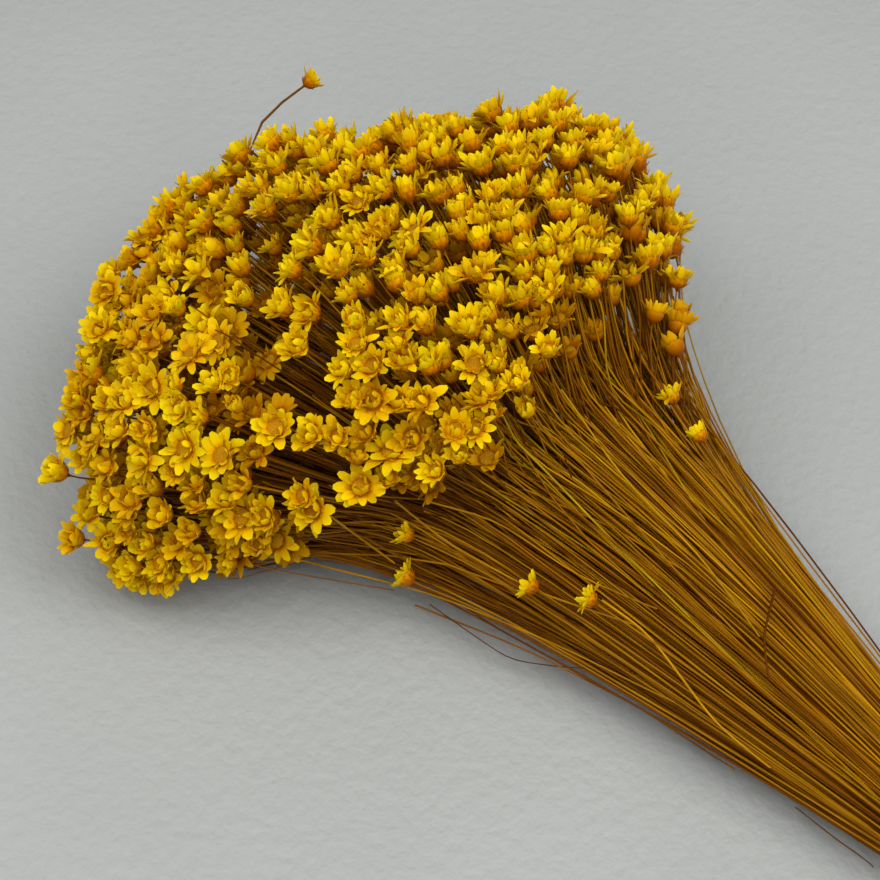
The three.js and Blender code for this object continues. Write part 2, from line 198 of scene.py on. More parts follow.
# Heads that are plain to see: the pixel right and down of each, how open it is and its size.
SHOWN_HEADS = (
    (183, 190, 0.7, 1.0), (163, 225, 0.8, 1.0), (140, 250, 0.9, 1.1), (108, 275, 0.8, 1.0),
    (98, 305, 0.8, 1.0), (92, 330, 0.8, 1.0), (188, 212, 0.7, 1.0), (207, 195, 0.6, 0.9),
    (205, 222, 0.9, 1.0), (236, 205, 0.5, 1.0), (264, 205, 0.6, 1.0), (262, 185, 0.6, 0.9),
    (290, 192, 0.7, 1.0), (177, 242, 0.4, 0.95), (216, 247, 0.0, 1.0), (155, 270, 0.9, 1.1),
    (198, 272, 0.9, 1.1), (165, 292, 0.9, 1.0), (125, 300, 0.8, 1.0), (148, 312, 0.8, 1.0),
    (237, 268, 0.4, 0.95), (240, 297, 0.2, 0.95), (200, 322, 0.8, 1.0), (215, 338, 1.0, 1.0),
    (183, 355, 1.0, 1.1), (120, 332, 0.9, 1.0), (150, 340, 0.9, 1.0), (92, 375, 0.9, 1.1),
    (145, 385, 0.9, 1.1), (173, 382, 0.7, 0.9), (222, 372, 0.5, 0.9), (207, 388, 0.7, 1.0),
    (229, 402, 0.1, 0.8), (118, 400, 0.8, 1.1), (71, 400, 0.6, 0.9), (60, 430, 1.0, 1.0),
    (137, 425, 0.6, 0.9), (175, 405, 0.6, 1.0), (198, 411, 0.6, 0.9), (115, 431, 0.8, 1.0),
    (266, 424, 0.7, 1.1), (217, 452, 1.0, 1.15), (180, 443, 0.9, 1.1), (88, 447, 0.7, 0.9),
    (168, 466, 0.8, 0.9), (140, 456, 0.9, 1.15), (105, 465, 0.9, 1.0), (55, 473, 0.5, 1.1),
    (191, 486, 0.8, 0.95), (100, 492, 0.7, 0.95), (147, 484, 0.4, 0.9), (126, 502, 0.8, 1.1),
    (190, 507, 0.7, 0.9), (161, 516, 0.5, 1.0), (221, 501, 0.6, 1.0), (241, 484, 0.5, 0.9),
    (237, 524, 1.0, 1.1), (264, 516, 0.7, 1.0), (253, 549, 0.6, 0.9), (126, 530, 0.5, 0.9),
    (185, 530, 0.5, 0.9), (142, 544, 0.5, 0.9), (72, 541, 0.6, 1.0), (100, 542, 0.7, 1.0),
    (130, 567, 0.5, 1.0), (156, 564, 0.5, 1.0), (190, 561, 0.7, 1.0), (223, 561, 0.4, 0.8),
    (270, 139, 0.5, 0.9), (321, 135, 0.4, 0.9), (240, 155, 0.6, 1.0), (296, 149, 0.6, 0.9),
    (226, 176, 0.6, 1.0), (274, 167, 0.6, 1.0), (325, 166, 0.7, 1.0), (362, 151, 0.7, 1.0),
    (350, 173, 0.7, 0.9), (396, 130, 0.6, 1.1), (405, 163, 0.5, 0.9), (386, 185, 0.6, 1.0),
    (358, 194, 0.6, 0.9), (331, 215, 0.7, 1.0), (314, 240, 0.7, 1.15), (381, 222, 0.4, 0.95),
    (415, 228, 1.0, 1.0), (361, 257, 0.9, 1.0), (333, 270, 0.7, 1.1), (293, 263, 0.5, 0.9),
    (395, 262, 0.6, 0.9), (412, 290, 0.5, 0.85), (439, 294, 0.5, 0.9), (346, 291, 0.6, 0.85),
    (281, 306, 0.6, 1.0), (311, 308, 0.7, 1.0), (350, 317, 0.2, 0.9), (294, 345, 0.6, 1.0),
    (493, 113, 0.7, 1.05), (566, 88, 0.7, 1.15), (553, 103, 0.4, 1.0), (438, 131, 0.6, 0.9),
    (455, 127, 0.6, 0.85), (440, 156, 0.7, 1.0), (480, 162, 0.6, 1.0), (503, 147, 0.5, 0.9),
    (528, 123, 0.6, 1.0), (531, 155, 0.7, 1.0), (556, 121, 0.6, 0.9), (564, 157, 0.4, 0.9),
    (583, 126, 0.6, 0.9), (629, 127, 0.7, 1.1), (652, 147, 0.5, 1.05), (614, 167, 0.5, 1.15),
    (440, 190, 0.7, 1.0), (490, 191, 0.5, 0.85), (520, 185, 0.5, 1.0), (550, 188, 0.4, 0.85),
    (556, 208, 0.5, 0.95), (527, 222, 0.1, 1.0), (578, 217, 0.2, 0.9), (503, 211, 0.5, 0.95),
    (480, 213, 0.4, 0.85), (455, 208, 0.3, 0.85), (461, 227, 0.4, 0.85), (438, 236, 0.3, 0.9),
    (478, 238, 0.35, 0.9), (502, 233, 0.4, 0.95), (597, 195, 0.7, 1.0), (560, 233, 0.7, 0.95),
    (599, 229, 0.6, 0.85), (547, 246, 0.2, 0.8), (525, 255, 0.6, 1.1), (546, 266, 0.2, 0.75),
    (563, 254, 0.2, 0.75), (584, 254, 0.6, 1.05), (602, 272, 0.5, 0.8), (476, 271, 0.9, 1.1),
    (500, 295, 0.4, 1.0), (526, 297, 0.8, 0.95), (549, 286, 0.6, 0.95), (426, 326, 0.5, 1.0),
    (467, 324, 0.5, 1.1), (489, 310, 0.4, 0.85), (508, 326, 0.3, 0.75), (648, 255, 0.6, 1.0),
    (626, 212, 0.4, 0.9), (352, 345, 0.6, 0.95), (344, 369, 0.6, 0.9), (371, 364, 0.7, 1.0),
    (399, 363, 0.6, 1.0), (433, 365, 0.7, 1.0), (394, 319, 0.5, 0.9), (396, 342, 0.6, 0.85),
    (474, 360, 0.6, 0.95), (497, 361, 0.4, 0.8), (519, 372, 0.2, 0.75), (487, 389, 0.8, 0.95),
    (491, 411, 0.9, 1.0), (346, 397, 0.5, 0.95), (370, 397, 0.8, 1.1), (394, 402, 0.6, 0.9),
    (419, 399, 0.9, 1.0), (337, 432, 0.6, 1.0), (309, 434, 0.7, 1.05), (365, 433, 0.7, 0.95),
    (386, 455, 1.1, 1.3), (352, 457, 0.5, 0.85), (353, 489, 0.8, 1.1), (389, 490, 0.4, 0.85),
    (452, 431, 0.5, 1.0), (300, 495, 0.6, 0.95), (317, 519, 0.9, 1.1), (170, 207, 0.7, 1.0),
    (152, 228, 0.8, 1.0), (124, 258, 0.8, 1.0), (104, 290, 0.8, 1.0), (93, 318, 0.8, 0.95),
    (84, 352, 0.8, 1.0), (78, 378, 0.8, 1.0), (253, 143, 0.6, 0.95), (212, 183, 0.6, 0.95),
    (287, 140, 0.5, 0.9), (306, 150, 0.5, 0.9), (339, 150, 0.5, 0.9), (375, 140, 0.5, 0.95),
    (415, 133, 0.5, 0.9), (510, 127, 0.5, 0.9), (540, 114, 0.6, 0.95), (581, 112, 0.5, 0.9),
    (600, 122, 0.6, 0.95), (615, 120, 0.6, 1.0), (605, 142, 0.5, 0.9), (590, 150, 0.5, 0.9),
    (574, 142, 0.5, 0.9), (545, 140, 0.5, 0.9), (516, 145, 0.5, 0.95), (470, 141, 0.5, 0.9),
    (425, 150, 0.6, 0.9), (340, 188, 0.6, 0.95), (312, 190, 0.6, 0.95), (635, 150, 0.5, 0.95),
    (252, 168, 0.6, 1.0), (168, 252, 0.8, 1.0), (200, 186, 0.7, 1.0), (128, 280, 0.8, 1.0),
    (374, 167, 0.6, 0.95), (458, 184, 0.5, 0.9), (468, 201, 0.4, 0.85), (184, 206, 0.7, 1.0),
    (134, 311, 0.8, 1.0), (181, 222, 0.7, 0.95), (158, 214, 0.8, 1.0), (318, 153, 0.6, 0.95),
    (138, 238, 0.8, 1.0), (222, 203, 0.7, 0.95), (407, 147, 0.5, 0.95), (576, 194, 0.5, 0.9),
    (512, 162, 0.5, 0.9), (617, 247, 0.5, 0.85), (409, 248, 0.5, 0.9), (250, 187, 0.6, 0.95),
    (640, 134, 0.6, 1.0), (664, 176, 0.5, 0.95), (664, 200, 0.5, 0.95), (668, 225, 0.5, 0.9),
    (80, 456, 0.6, 0.95), (271, 153, 0.6, 0.9), (172, 267, 0.8, 0.95), (80, 411, 0.7, 0.9),
    (238, 165, 0.6, 0.9), (139, 292, 0.8, 0.9),
)

# Bare tips of broken stems that stand out of the crown, as pixels.
SHOWN_TIPS = ((84, 318), (187, 169), (211, 150), (662, 182), (204, 322), (437, 166), (300, 175), (178, 300))

# How far outside the crown's surface shown heads may stand, how far the tips stand outside it,
# and how deep the layers of deep stems lie.
SHOWN_LIFTS = (0.0, 0.003, 0.006, 0.009, 0.013)
TIP_LIFT = 0.011
DEEP_LAYERS = (0.008, 0.014, 0.022)

# Loose stems that lie against the bunch, and how far outside it: the straw colour of each, how
# dark and how thick it is, and the pixels that it runs through.
LOOSE_STAND = 0.0018
LOOSE_STEMS = (
    (0.0, 0.9, 1.25, ((773, 594), (765, 639), (771, 680))),
    (0.85, 0.0, 1.15, ((606, 600), (650, 631), (674, 661), (719, 720), (775, 765))),
    (0.0, 0.8, 0.7, ((435, 600), (515, 655), (590, 665))),
    (0.4, 0.2, 0.6, ((262, 562), (330, 574), (400, 586))),
    (0.1, 0.7, 0.7, ((800, 802), (845, 838), (879, 862))),
    (0.2, 0.5, 0.7, ((668, 300), (680, 375), (700, 440), (735, 492))),
    (0.9, 0.0, 1.0, ((560, 395), (620, 480), (700, 560), (760, 640))),
    (0.2, 0.3, 0.8, ((420, 600), (520, 640), (640, 700), (740, 765))),
    (0.6, 0.0, 1.0, ((400, 500), (450, 540), (540, 590), (640, 625))),
    (0.8, 0.0, 0.9, ((285, 470), (330, 510), (400, 560))),
    (0.7, 0.0, 1.0, ((262, 545), (340, 565), (440, 590), (560, 640), (680, 700))),
    (0.7, 0.1, 0.9, ((430, 500), (500, 520), (580, 575), (660, 610))),
)

# A long stem that bends out of the crown: the pixels of its last points, how open its head is
# and its size.
LONG_STEM = SimpleNamespace(pixels=((250, 150), (262, 122), (282, 102), (304, 86)), openness=0.6, size=0.8)

# The numbers of other flowers and stems, where in the disc the front ones stand, and how the
# flowers part along the valley.
FREE_FLOWERS, FRONT_FLOWERS, DEEP_STEMS, INNER_STEMS = 640, 136, 300, 30
FRONT = SimpleNamespace(middle=(-0.14, -0.2), spread=(0.38, 0.22))
PARTING = SimpleNamespace(width=0.15, reach=0.3, sunk=0.010, sunk_reach=0.2)
SINK_STEP, HEADLESS_SINK = 0.004, 0.008

# The two lobes of the crown, as mean and spread or as one value: how open and how large heads
# are, how many stand deeper, how far they turn towards FACING, how broad their bracts are, how
# much larger all heads are, and how dark.
FAR_LOBE = SimpleNamespace(
    openness=(0.42, 0.2), size=(0.9, 0.07), deeper=0.42, facing=0.25, broad=0.92, larger=1.13, tone=-0.04,
)
NEAR_LOBE = SimpleNamespace(
    openness=(0.8, 0.15), size=(1.0, 0.07), deeper=0.3, facing=1.0, broad=1.2, larger=1.0, tone=0.24,
)

# In searches: the pixels that a metre away from the camera, a metre outside the crown's surface
# and a missing head count for.
AWAY_COST, LIFT_COST, HEADLESS_COST = 300, 2500, 1000

# The crown's outline, as pixels: free flowers sink until they are seen inside it.
OUTLINE = (
    (130, 590), (95, 560), (52, 500), (60, 430), (78, 360), (92, 300), (122, 248), (160, 200), (200, 172),
    (238, 148), (290, 136), (330, 146), (372, 138), (400, 120), (445, 120), (480, 116), (512, 118),
    (545, 104), (575, 104), (632, 114), (662, 140), (676, 200), (692, 262), (655, 285), (612, 290),
    (572, 302), (535, 340), (530, 385), (508, 425), (470, 442), (440, 455), (418, 494), (385, 508),
    (345, 512), (322, 538), (275, 575), (230, 600),
)
NEAR_EDGE = SimpleNamespace(start=(253, 575), slope=-0.756)

# The dark gap between the lobes, as pixels: free stems seen there have lost their heads.
GAP = (
    (220, 246), (262, 220), (305, 212), (322, 230), (302, 250), (276, 280), (272, 296), (300, 322),
    (335, 350), (342, 388), (332, 420), (338, 480), (385, 520), (330, 560), (285, 560), (292, 505),
    (252, 470), (246, 410), (238, 352), (232, 318), (216, 288),
)

# The far part of the crown, where stems and heads are seen deep between the others, as pixels.
FAR_PART = (
    (100, 330), (122, 256), (160, 208), (200, 180), (238, 158), (330, 154), (400, 130), (545, 114),
    (630, 122), (660, 160), (672, 230), (640, 280), (560, 300), (500, 340), (420, 360), (340, 330),
    (250, 300), (180, 330),
)

# Where a stem's rings are, how stems wander, how heads nod (the near lobe's and the outside ones'
# as shares of the others'), how far an open star reaches, and what the near lobe's heads face.
STEM_STATIONS = np.concatenate(([-1, 0], np.linspace(0.1, 0.9, 10), [0.935, 0.962, 0.984, 1]))
NECK_BEND = 0.006
WANDER = SimpleNamespace(crossing=0.4, rim=0.96, restless_share=0.25, restless=2.5, sway=0.0018)
NOD = SimpleNamespace(crown=0.25, near_lobe=1.4, outside=0.25)
STAR_REACH, STAR_HEIGHT, FLOOR_GAP = 0.0060, 0.0024, 0.0002
FACING = np.array((-0.15, 0.40, 0.90))

# Heads deeper than this have no inner bracts and no scales, and only heads more open than this
# have florets.
SHALLOW_DEPTH, OPEN_DISC = 0.009, 0.55


def camera_axes():
    """The main camera's place, and its directions to the right, up and forward."""
    bearing, tilt = np.radians((CAMERA.bearing, CAMERA.tilt))
    forward = np.array((np.cos(bearing) * np.cos(tilt), np.sin(bearing) * np.cos(tilt), -np.sin(tilt)))
    right = unit(np.cross(forward, UP))
    place = SHIFT + CAMERA.target - CAMERA.distance * forward
    aim = SHIFT + CAMERA.target + CAMERA.aside * right + CAMERA.above * np.cross(right, forward)
    forward = unit(aim - place)
    right = unit(np.cross(forward, UP))
    return place, right, np.cross(right, forward), forward


def picture_places(points):
    """Where the main camera sees points: pixels to the right and down, and metres away."""
    place, right, up, forward = camera_axes()
    seen = points - place
    away = seen @ forward
    focal = CAMERA.frame * CAMERA.lens / CAMERA.sensor
    middle = CAMERA.frame / 2
    return middle + focal * (seen @ right) / away, middle - focal * (seen @ up) / away, away


def crown_flowers(rng):
    """The flowers of the crown: sunflower points of the disc, moved and sunk a little each.

    More flowers stand in the crown's front. All of them part along the valley, whose middle is
    v = 0.45 + 0.62 u - 0.62 u², so that none is nearer to it than its half-width: the distance
    d becomes sqrt(d² + half-width²).
    """
    index = np.arange(FREE_FLOWERS)
    spacing = np.sqrt(np.pi / FREE_FLOWERS)
    jitter = 0.25 * spacing
    radius = np.sqrt((index + 0.5) / FREE_FLOWERS) + rng.normal(0, jitter, FREE_FLOWERS)
    angle = index * GOLDEN_ANGLE + rng.normal(0, jitter, FREE_FLOWERS) / np.maximum(radius, spacing)
    angle = np.arctan2(np.sin(angle), np.cos(angle))
    radius = np.clip(radius, 0, 1 - 0.1 * np.exp(-(((angle + 0.6) / 0.6) ** 2)))
    front = rng.normal(FRONT.middle, FRONT.spread, (FRONT_FLOWERS, 2))
    u = np.concatenate((radius * np.cos(angle), front[:, 0]))
    v = np.concatenate((radius * np.sin(angle) - 0.12 * (1 - radius**2), front[:, 1]))
    count = len(u)
    off = v - (0.45 + 0.62 * u - 0.62 * u**2)
    near_valley = np.clip(u / 0.15 + 0.3, 0, 1)
    parting = PARTING.width * near_valley * np.exp(-((off / PARTING.reach) ** 2))
    v = v + np.sign(off) * (np.sqrt(off**2 + parting**2) - np.abs(off))
    near = near_share(u, v)
    deeper = rng.uniform(0, 1, count) < mix(FAR_LOBE.deeper, NEAR_LOBE.deeper, near)
    deeper = deeper * rng.uniform(0, 0.030, count)
    depth = rng.triangular(-0.002, 0.001, 0.012, count) + deeper
    depth = depth + PARTING.sunk * near_valley * np.exp(-((off / PARTING.sunk_reach) ** 2))
    openness, size = (
        mix(rng.normal(*far, count), rng.normal(*close, count), near)
        for far, close in ((FAR_LOBE.openness, NEAR_LOBE.openness), (FAR_LOBE.size, NEAR_LOBE.size))
    )
    group = SimpleNamespace(
        u=u, v=v, depth=depth, openness=np.clip(openness, 0, 1.1), size=size, headed=np.ones(count, bool),
    )
    settle(group)
    add_shown(group, rng)
    add_deep(group, rng)
    add_bare(group, rng)
    near = near_share(group.u, group.v)
    group.facing = mix(FAR_LOBE.facing, NEAR_LOBE.facing, near)
    group.broad = mix(FAR_LOBE.broad, NEAR_LOBE.broad, near)
    group.size = group.size * mix(FAR_LOBE.larger, NEAR_LOBE.larger, near)
    group.near = near > 0.5
    return group


def near_share(u, v):
    """1 in the lobe towards the camera's left, 0 in the other, and a soft step between them."""
    return 1 / (1 + np.exp(-(np.cos(np.arctan2(v, u) + 0.26) - 0.26) / 0.08))


def seen_inside(outline, x, y):
    """Whether pixels lie inside an outline: a line to the right crosses it an odd number of times."""
    corners = np.array(outline, float)
    ahead = np.roll(corners, -1, axis=0)
    spans = (corners[:, 1] > y[:, None]) != (ahead[:, 1] > y[:, None])
    slope = (ahead[:, 0] - corners[:, 0]) / (ahead[:, 1] - corners[:, 1] + 1e-9)
    crossed = spans & (x[:, None] < corners[:, 0] + slope * (y[:, None] - corners[:, 1]))
    return crossed.sum(1) % 2 == 1


def settle(group):
    """Moves flowers by small steps, seven at most, until the main camera sees them inside the outline.

    Past the far edge they sink by 4 mm, and past the near edge they move towards the disc's middle.
    Flowers that face the camera in the gap lose their heads.
    """
    forward = camera_axes()[3]
    for _ in range(7):
        place, heading = crown(group.u, group.v, group.depth)
        x, y, _ = picture_places(place + SINK_STEP * heading)
        faces = heading @ forward < 0.1
        outside = ~seen_inside(OUTLINE, x, y)
        past_near = y > NEAR_EDGE.start[1] + NEAR_EDGE.slope * (x - NEAR_EDGE.start[0])
        group.depth = group.depth + SINK_STEP * (outside & ~past_near)
        inwards = np.where(outside & past_near & faces, 0.93, 1)
        group.u, group.v = group.u * inwards, group.v * inwards
    group.headed = ~(seen_inside(GAP, x, y) & faces)
    group.depth = group.depth + HEADLESS_SINK * ~group.headed


def crown_search(lifts):
    """A function that finds the place (u, v, lift) that the main camera sees nearest to a pixel.

    It looks through the crown's surface and surfaces outside it by each lift, and prefers
    the side towards the camera and small lifts.
    """
    radius, angle = np.meshgrid(np.linspace(0.02, 1, 110), np.radians(np.arange(-180, 180, 1.5)))
    lift = np.array(lifts)[:, None, None]
    grid_u, grid_v = radius * np.cos(angle), radius * np.sin(angle)
    place, heading = crown(grid_u, grid_v)
    x, y, away = picture_places(place + heading * (lift[..., None] + 0.003))
    base_cost = AWAY_COST * (away - away.min()) + LIFT_COST * lift

    def find(right, down):
        best = np.unravel_index((np.hypot(x - right, y - down) + base_cost).argmin(), x.shape)
        return grid_u[best[1:]], grid_v[best[1:]], lifts[best[0]]

    return find


def extend(group, **rows):
    """Adds rows to a group of flowers, key by key. A single value stands for all of the new rows."""
    count = len(rows["u"])
    for key, values in rows.items():
        setattr(group, key, np.concatenate((getattr(group, key), np.broadcast_to(values, count))))


def add_shown(group, rng):
    """Adds the shown heads, and sinks the free flowers next to them below them."""
    find = crown_search(SHOWN_LIFTS)
    right, down, openness, size = np.array(SHOWN_HEADS, float).T
    u, v, lift = np.array([find(*pixel) for pixel in zip(right, down)]).T
    gap = np.hypot(group.u[:, None] - u, group.v[:, None] - v).min(1)
    sunk = rng.uniform(0.3, 1, len(gap)) * 0.014 * np.clip(1.5 - gap / 0.035, 0, 1)
    group.depth = group.depth + sunk
    extend(group, u=u, v=v, depth=-lift, openness=openness, size=size, headed=True)


def add_deep(group, rng):
    """Adds broken stems deep between the heads, and in the crown's far part some deep heads."""
    count = DEEP_STEMS
    right, down = rng.uniform((60, 100), (690, 600), (6 * count, 2)).T
    pick = np.flatnonzero(seen_inside(OUTLINE, right, down))[:count]
    right, down = right[pick], down[pick]
    headed = seen_inside(FAR_PART, right, down) & ~seen_inside(GAP, right, down)
    headed &= rng.uniform(0, 1, count) < 0.35
    finds = [crown_search((-depth,)) for depth in DEEP_LAYERS]
    u, v, lift = np.array([finds[i % len(finds)](right[i], down[i]) for i in range(count)]).T
    extend(
        group,
        u=u + rng.normal(0, 0.012, count),
        v=v + rng.normal(0, 0.012, count),
        depth=-lift + rng.uniform(-0.003, 0.003, count),
        openness=rng.uniform(0.3, 0.8, count),
        size=rng.normal(0.92, 0.06, count),
        headed=headed,
    )


def add_bare(group, rng):
    """Adds other stems that have lost their heads: some shown tips, and the rest sunk in the crown."""
    find = crown_search((TIP_LIFT,))
    u, v, lift = np.array([find(*pixel) for pixel in SHOWN_TIPS]).T
    extend(group, u=u, v=v, depth=-lift, openness=0.0, size=1.0, headed=False)
    radius, angle = np.sqrt(rng.uniform(0, 1, INNER_STEMS)), rng.uniform(0, 2 * np.pi, INNER_STEMS)
    depth = rng.uniform(0.004, 0.035, INNER_STEMS)
    u, v = radius * np.cos(angle), radius * np.sin(angle)
    extend(group, u=u, v=v, depth=depth, openness=0.0, size=1.0, headed=False)


def loose_paths():
    """Loose stems, each drawn through its pixels over the bunch's side and kept just outside it.

    Each point is the one of the outermost stems that the main camera sees nearest to the pixel,
    moved by what is left of the distance. Points are then averaged with their neighbours.
    """
    side = np.radians(np.arange(0, 360, 2.0))
    u, v = np.cos(side), np.sin(side)
    surface = stem_path((u, v), (u, v), crown(u, v, 0 * u), np.linspace(0.02, 1, 90))
    outward = LOOSE_STAND * (u[:, None] * ACROSS + v[:, None] * UP)
    x, y, away = picture_places(surface)
    _, right, up, _ = camera_axes()
    cost = AWAY_COST * (away - away.min())
    paths, starts = [], []
    for *_, pixels in LOOSE_STEMS:
        pixels = np.array(pixels, float)
        length = np.concatenate(([0], np.cumsum(np.hypot(*np.diff(pixels, axis=0).T))))
        along = np.linspace(0, length[-1], len(STEM_STATIONS))
        points, strands = [], []
        for across, down in zip(*(np.interp(along, length, pixels[:, axis]) for axis in (0, 1))):
            best = np.unravel_index((np.hypot(x - across, y - down) + cost).argmin(), x.shape)
            rest = right * (across - x[best]) - up * (down - y[best])
            points.append(surface[best] + outward[best[0]] + rest * PIXEL)
            strands.append(best[0])
        starts.append((u[strands[0]], v[strands[0]]))
        points = np.array(points)
        for _ in range(2):
            points[1:-1] = (points[:-2] + 2 * points[1:-1] + points[2:]) / 4
        paths.append(points)
    return np.array(paths), np.array(starts)


def sheaf_centres():
    """Each sheaf's place in the disc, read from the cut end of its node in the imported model."""
    names = sorted(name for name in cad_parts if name.startswith("flower_sheaf_"))
    centres = []
    for name in names:
        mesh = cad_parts[name].data
        points = np.empty(3 * len(mesh.vertices))
        mesh.vertices.foreach_get("co", points)
        points = points.reshape(-1, 3)
        end = points[points[:, 0] < points[:, 0].min() + 1e-5].mean(0) - SHIFT - TIE.centre
        centres.append(end[1:] / (TIE.stems_radius * (1 + TAIL.splay)))
    return names, np.array(centres)


def crown_stems(group, ends, rng):
    """The paths of the crown's stems: they leave the tie near their own place, and sway by sines.

    The sway fades to nothing at both ends by sin(pi s) squared, and some stems sway more.
    """
    count = len(group.u)
    crossing = rng.normal(0, WANDER.crossing, (2, count))
    tie_u, tie_v = group.u + crossing[0], group.v + crossing[1]
    inside = np.minimum(WANDER.rim / np.maximum(np.hypot(tie_u, tie_v), 1e-6), 1)
    s = STEM_STATIONS
    paths = stem_path((tie_u * inside, tie_v * inside), (group.u, group.v), ends, s)
    restless = np.where(rng.uniform(0, 1, (count, 1)) < WANDER.restless_share, WANDER.restless, 1)
    sway = rng.normal(0, WANDER.sway, (2, count, 1)) * restless
    phase = rng.uniform(0, 2 * np.pi, (2, count, 1))
    ease = np.sin(np.pi * np.clip(s, 0, 1)) ** 2
    paths = paths + (sway[0] * ease * np.sin(5 * s + phase[0]))[..., None] * ACROSS
    return paths + (sway[1] * ease * np.sin(4 * s + phase[1]))[..., None] * UP


def bend_long_stem(group, place):
    """Bends the stem that is seen nearest to the long stem's first pixel, and returns its number."""
    bends = np.array(LONG_STEM.pixels, float)
    x, y, away = picture_places(place)
    cost = AWAY_COST * (away - away.min()) + HEADLESS_COST * ~group.headed
    bent = (np.hypot(x - bends[0, 0], y - bends[0, 1]) + cost).argmin()
    moved = bends - (x[bent], y[bent])
    _, right, up, _ = camera_axes()
    reach = away[bent] * CAMERA.sensor / (CAMERA.frame * CAMERA.lens)
    path = group.paths[bent]
    path[-len(bends):] = place[bent] + reach * (moved[:, :1] * right - moved[:, 1:] * up)
    group.heading[bent] = unit(path[-1] - path[-2])
    group.openness[bent], group.size[bent], group.facing[bent] = LONG_STEM.openness, LONG_STEM.size, 0
    return bent


def outside_flowers(names, centres):
    """The single flowers that run along the outside of the bunch, and the loose stems on it."""
    outer = [outer_path(*row[:3]) for row in OUTER_FLOWERS.values()]
    loose, starts = loose_paths()
    openness, size = np.array([row[3:] for row in OUTER_FLOWERS.values()]).T
    straw, shade, slim = np.array([row[:3] for row in LOOSE_STEMS]).T
    loose_nodes = [names[np.hypot(*(centres - start).T).argmin()] for start in starts]

    def both(flower, stem):
        return np.concatenate((np.broadcast_to(flower, len(outer)), np.broadcast_to(stem, len(loose))))

    return SimpleNamespace(
        paths=np.concatenate(([path for path, _ in outer], loose)),
        heading=np.concatenate(([last for _, last in outer], unit(loose[:, -1] - loose[:, -2]))),
        node=both([f"flower_{name}" for name in OUTER_FLOWERS], loose_nodes),
        openness=both(openness, 0.0),
        size=both(size, 1.0),
        straw=both(0.5, straw),
        shade=both(0.2, shade),
        slim=both(0.85, slim),
        headed=both(True, False),
        shallow=both(True, True),
        near=both(False, False),
        broad=both(0.95, 0.95),
        facing=both(0.0, 0.0),
        lobe=both(0.0, 0.0),
        depth=both(0.0, 0.0),
        nod=both(NOD.outside, NOD.outside),
    )


def gather_flowers():
    """All flowers with their stems' paths, heads' places and headings, and the node each stands for.

    Each head nods by chance and turns towards FACING by its own share. The neck bends with it,
    by the exponential of minus the distance below the head over NECK_BEND. A head whose star
    would reach through the floor is lifted in the same way.
    """
    rng = np.random.default_rng(SEED)
    group = crown_flowers(rng)
    names, centres = sheaf_centres()
    place, heading = crown(group.u, group.v, group.depth)
    group.paths, group.heading = crown_stems(group, (place, heading), rng), heading
    # low rises towards the bunch's lower left flank, which faces away from the light. Its stems get darker,
    # redder straw there, which is painted shade.
    low = np.clip(0.8 * group.u - 0.6 * group.v, 0, 1)
    group.straw = np.clip(rng.uniform(0, 1, len(low)) - 0.35 * low, 0, 1)
    bent = bend_long_stem(group, place)
    # Painted shade: stems of heads deep in the crown darken with depth, and stems on the lower left flank
    # darken by chance. The bare tips and the long stem are dark in their own colour.
    shade = np.clip((group.depth - 0.003) / 0.014, 0, 1) * 0.85
    shade = shade + 0.5 * low * rng.uniform(0, 1, len(low))
    shade[group.depth <= -TIP_LIFT], shade[bent] = 0.9, 0.8
    group.shade = np.clip(shade, 0, 1)
    group.slim = np.where(group.headed, 1, 0.8)
    group.shallow = group.depth < SHALLOW_DEPTH
    group.lobe = mix(FAR_LOBE.tone, NEAR_LOBE.tone, near_share(group.u, group.v))
    group.nod = np.where(group.near, NOD.near_lobe, 1.0)
    nearest = np.hypot(group.u[:, None] - centres[:, 0], group.v[:, None] - centres[:, 1]).argmin(1)
    group.node = np.array(names)[nearest]
    outside = vars(outside_flowers(names, centres))
    flowers = SimpleNamespace(
        **{key: np.concatenate((getattr(group, key), values)) for key, values in outside.items()}
    )
    paths, size = flowers.paths, flowers.size
    flowers.count = len(paths)
    nod = rng.normal(0, NOD.crown, (flowers.count, 3)) * flowers.nod[:, None]
    turned = unit(flowers.heading + nod + flowers.facing[:, None] * FACING)
    below = np.linalg.norm(paths - paths[:, -1:], axis=-1)[..., None]
    fade = np.exp(-below / NECK_BEND)
    paths = paths + (flowers.heading - turned)[:, None, :] * below * fade
    reach_down = STAR_REACH * np.sqrt(1 - turned[:, 2] ** 2) - STAR_HEIGHT * turned[:, 2]
    lift = np.clip(size * reach_down + FLOOR_GAP - paths[:, -1, 2], 0, None)
    paths = paths + lift[:, None, None] * fade * UP
    paths[..., 2] = np.maximum(paths[..., 2], 2 * FLOOR_GAP)
    flowers.paths, flowers.place, flowers.heading = paths, paths[:, -1], turned
    flowers.spin = rng.uniform(0, 2 * np.pi, flowers.count)
    # The head's tone is its random tone and its lobe's tone, plus painted shade that darkens and browns
    # heads deep in the crown.
    deep = 1.2 * np.clip(flowers.depth / 0.02 - 0.15, 0, 1)
    flowers.tone = rng.uniform(0, 0.85, flowers.count) + flowers.lobe + deep
    return flowers


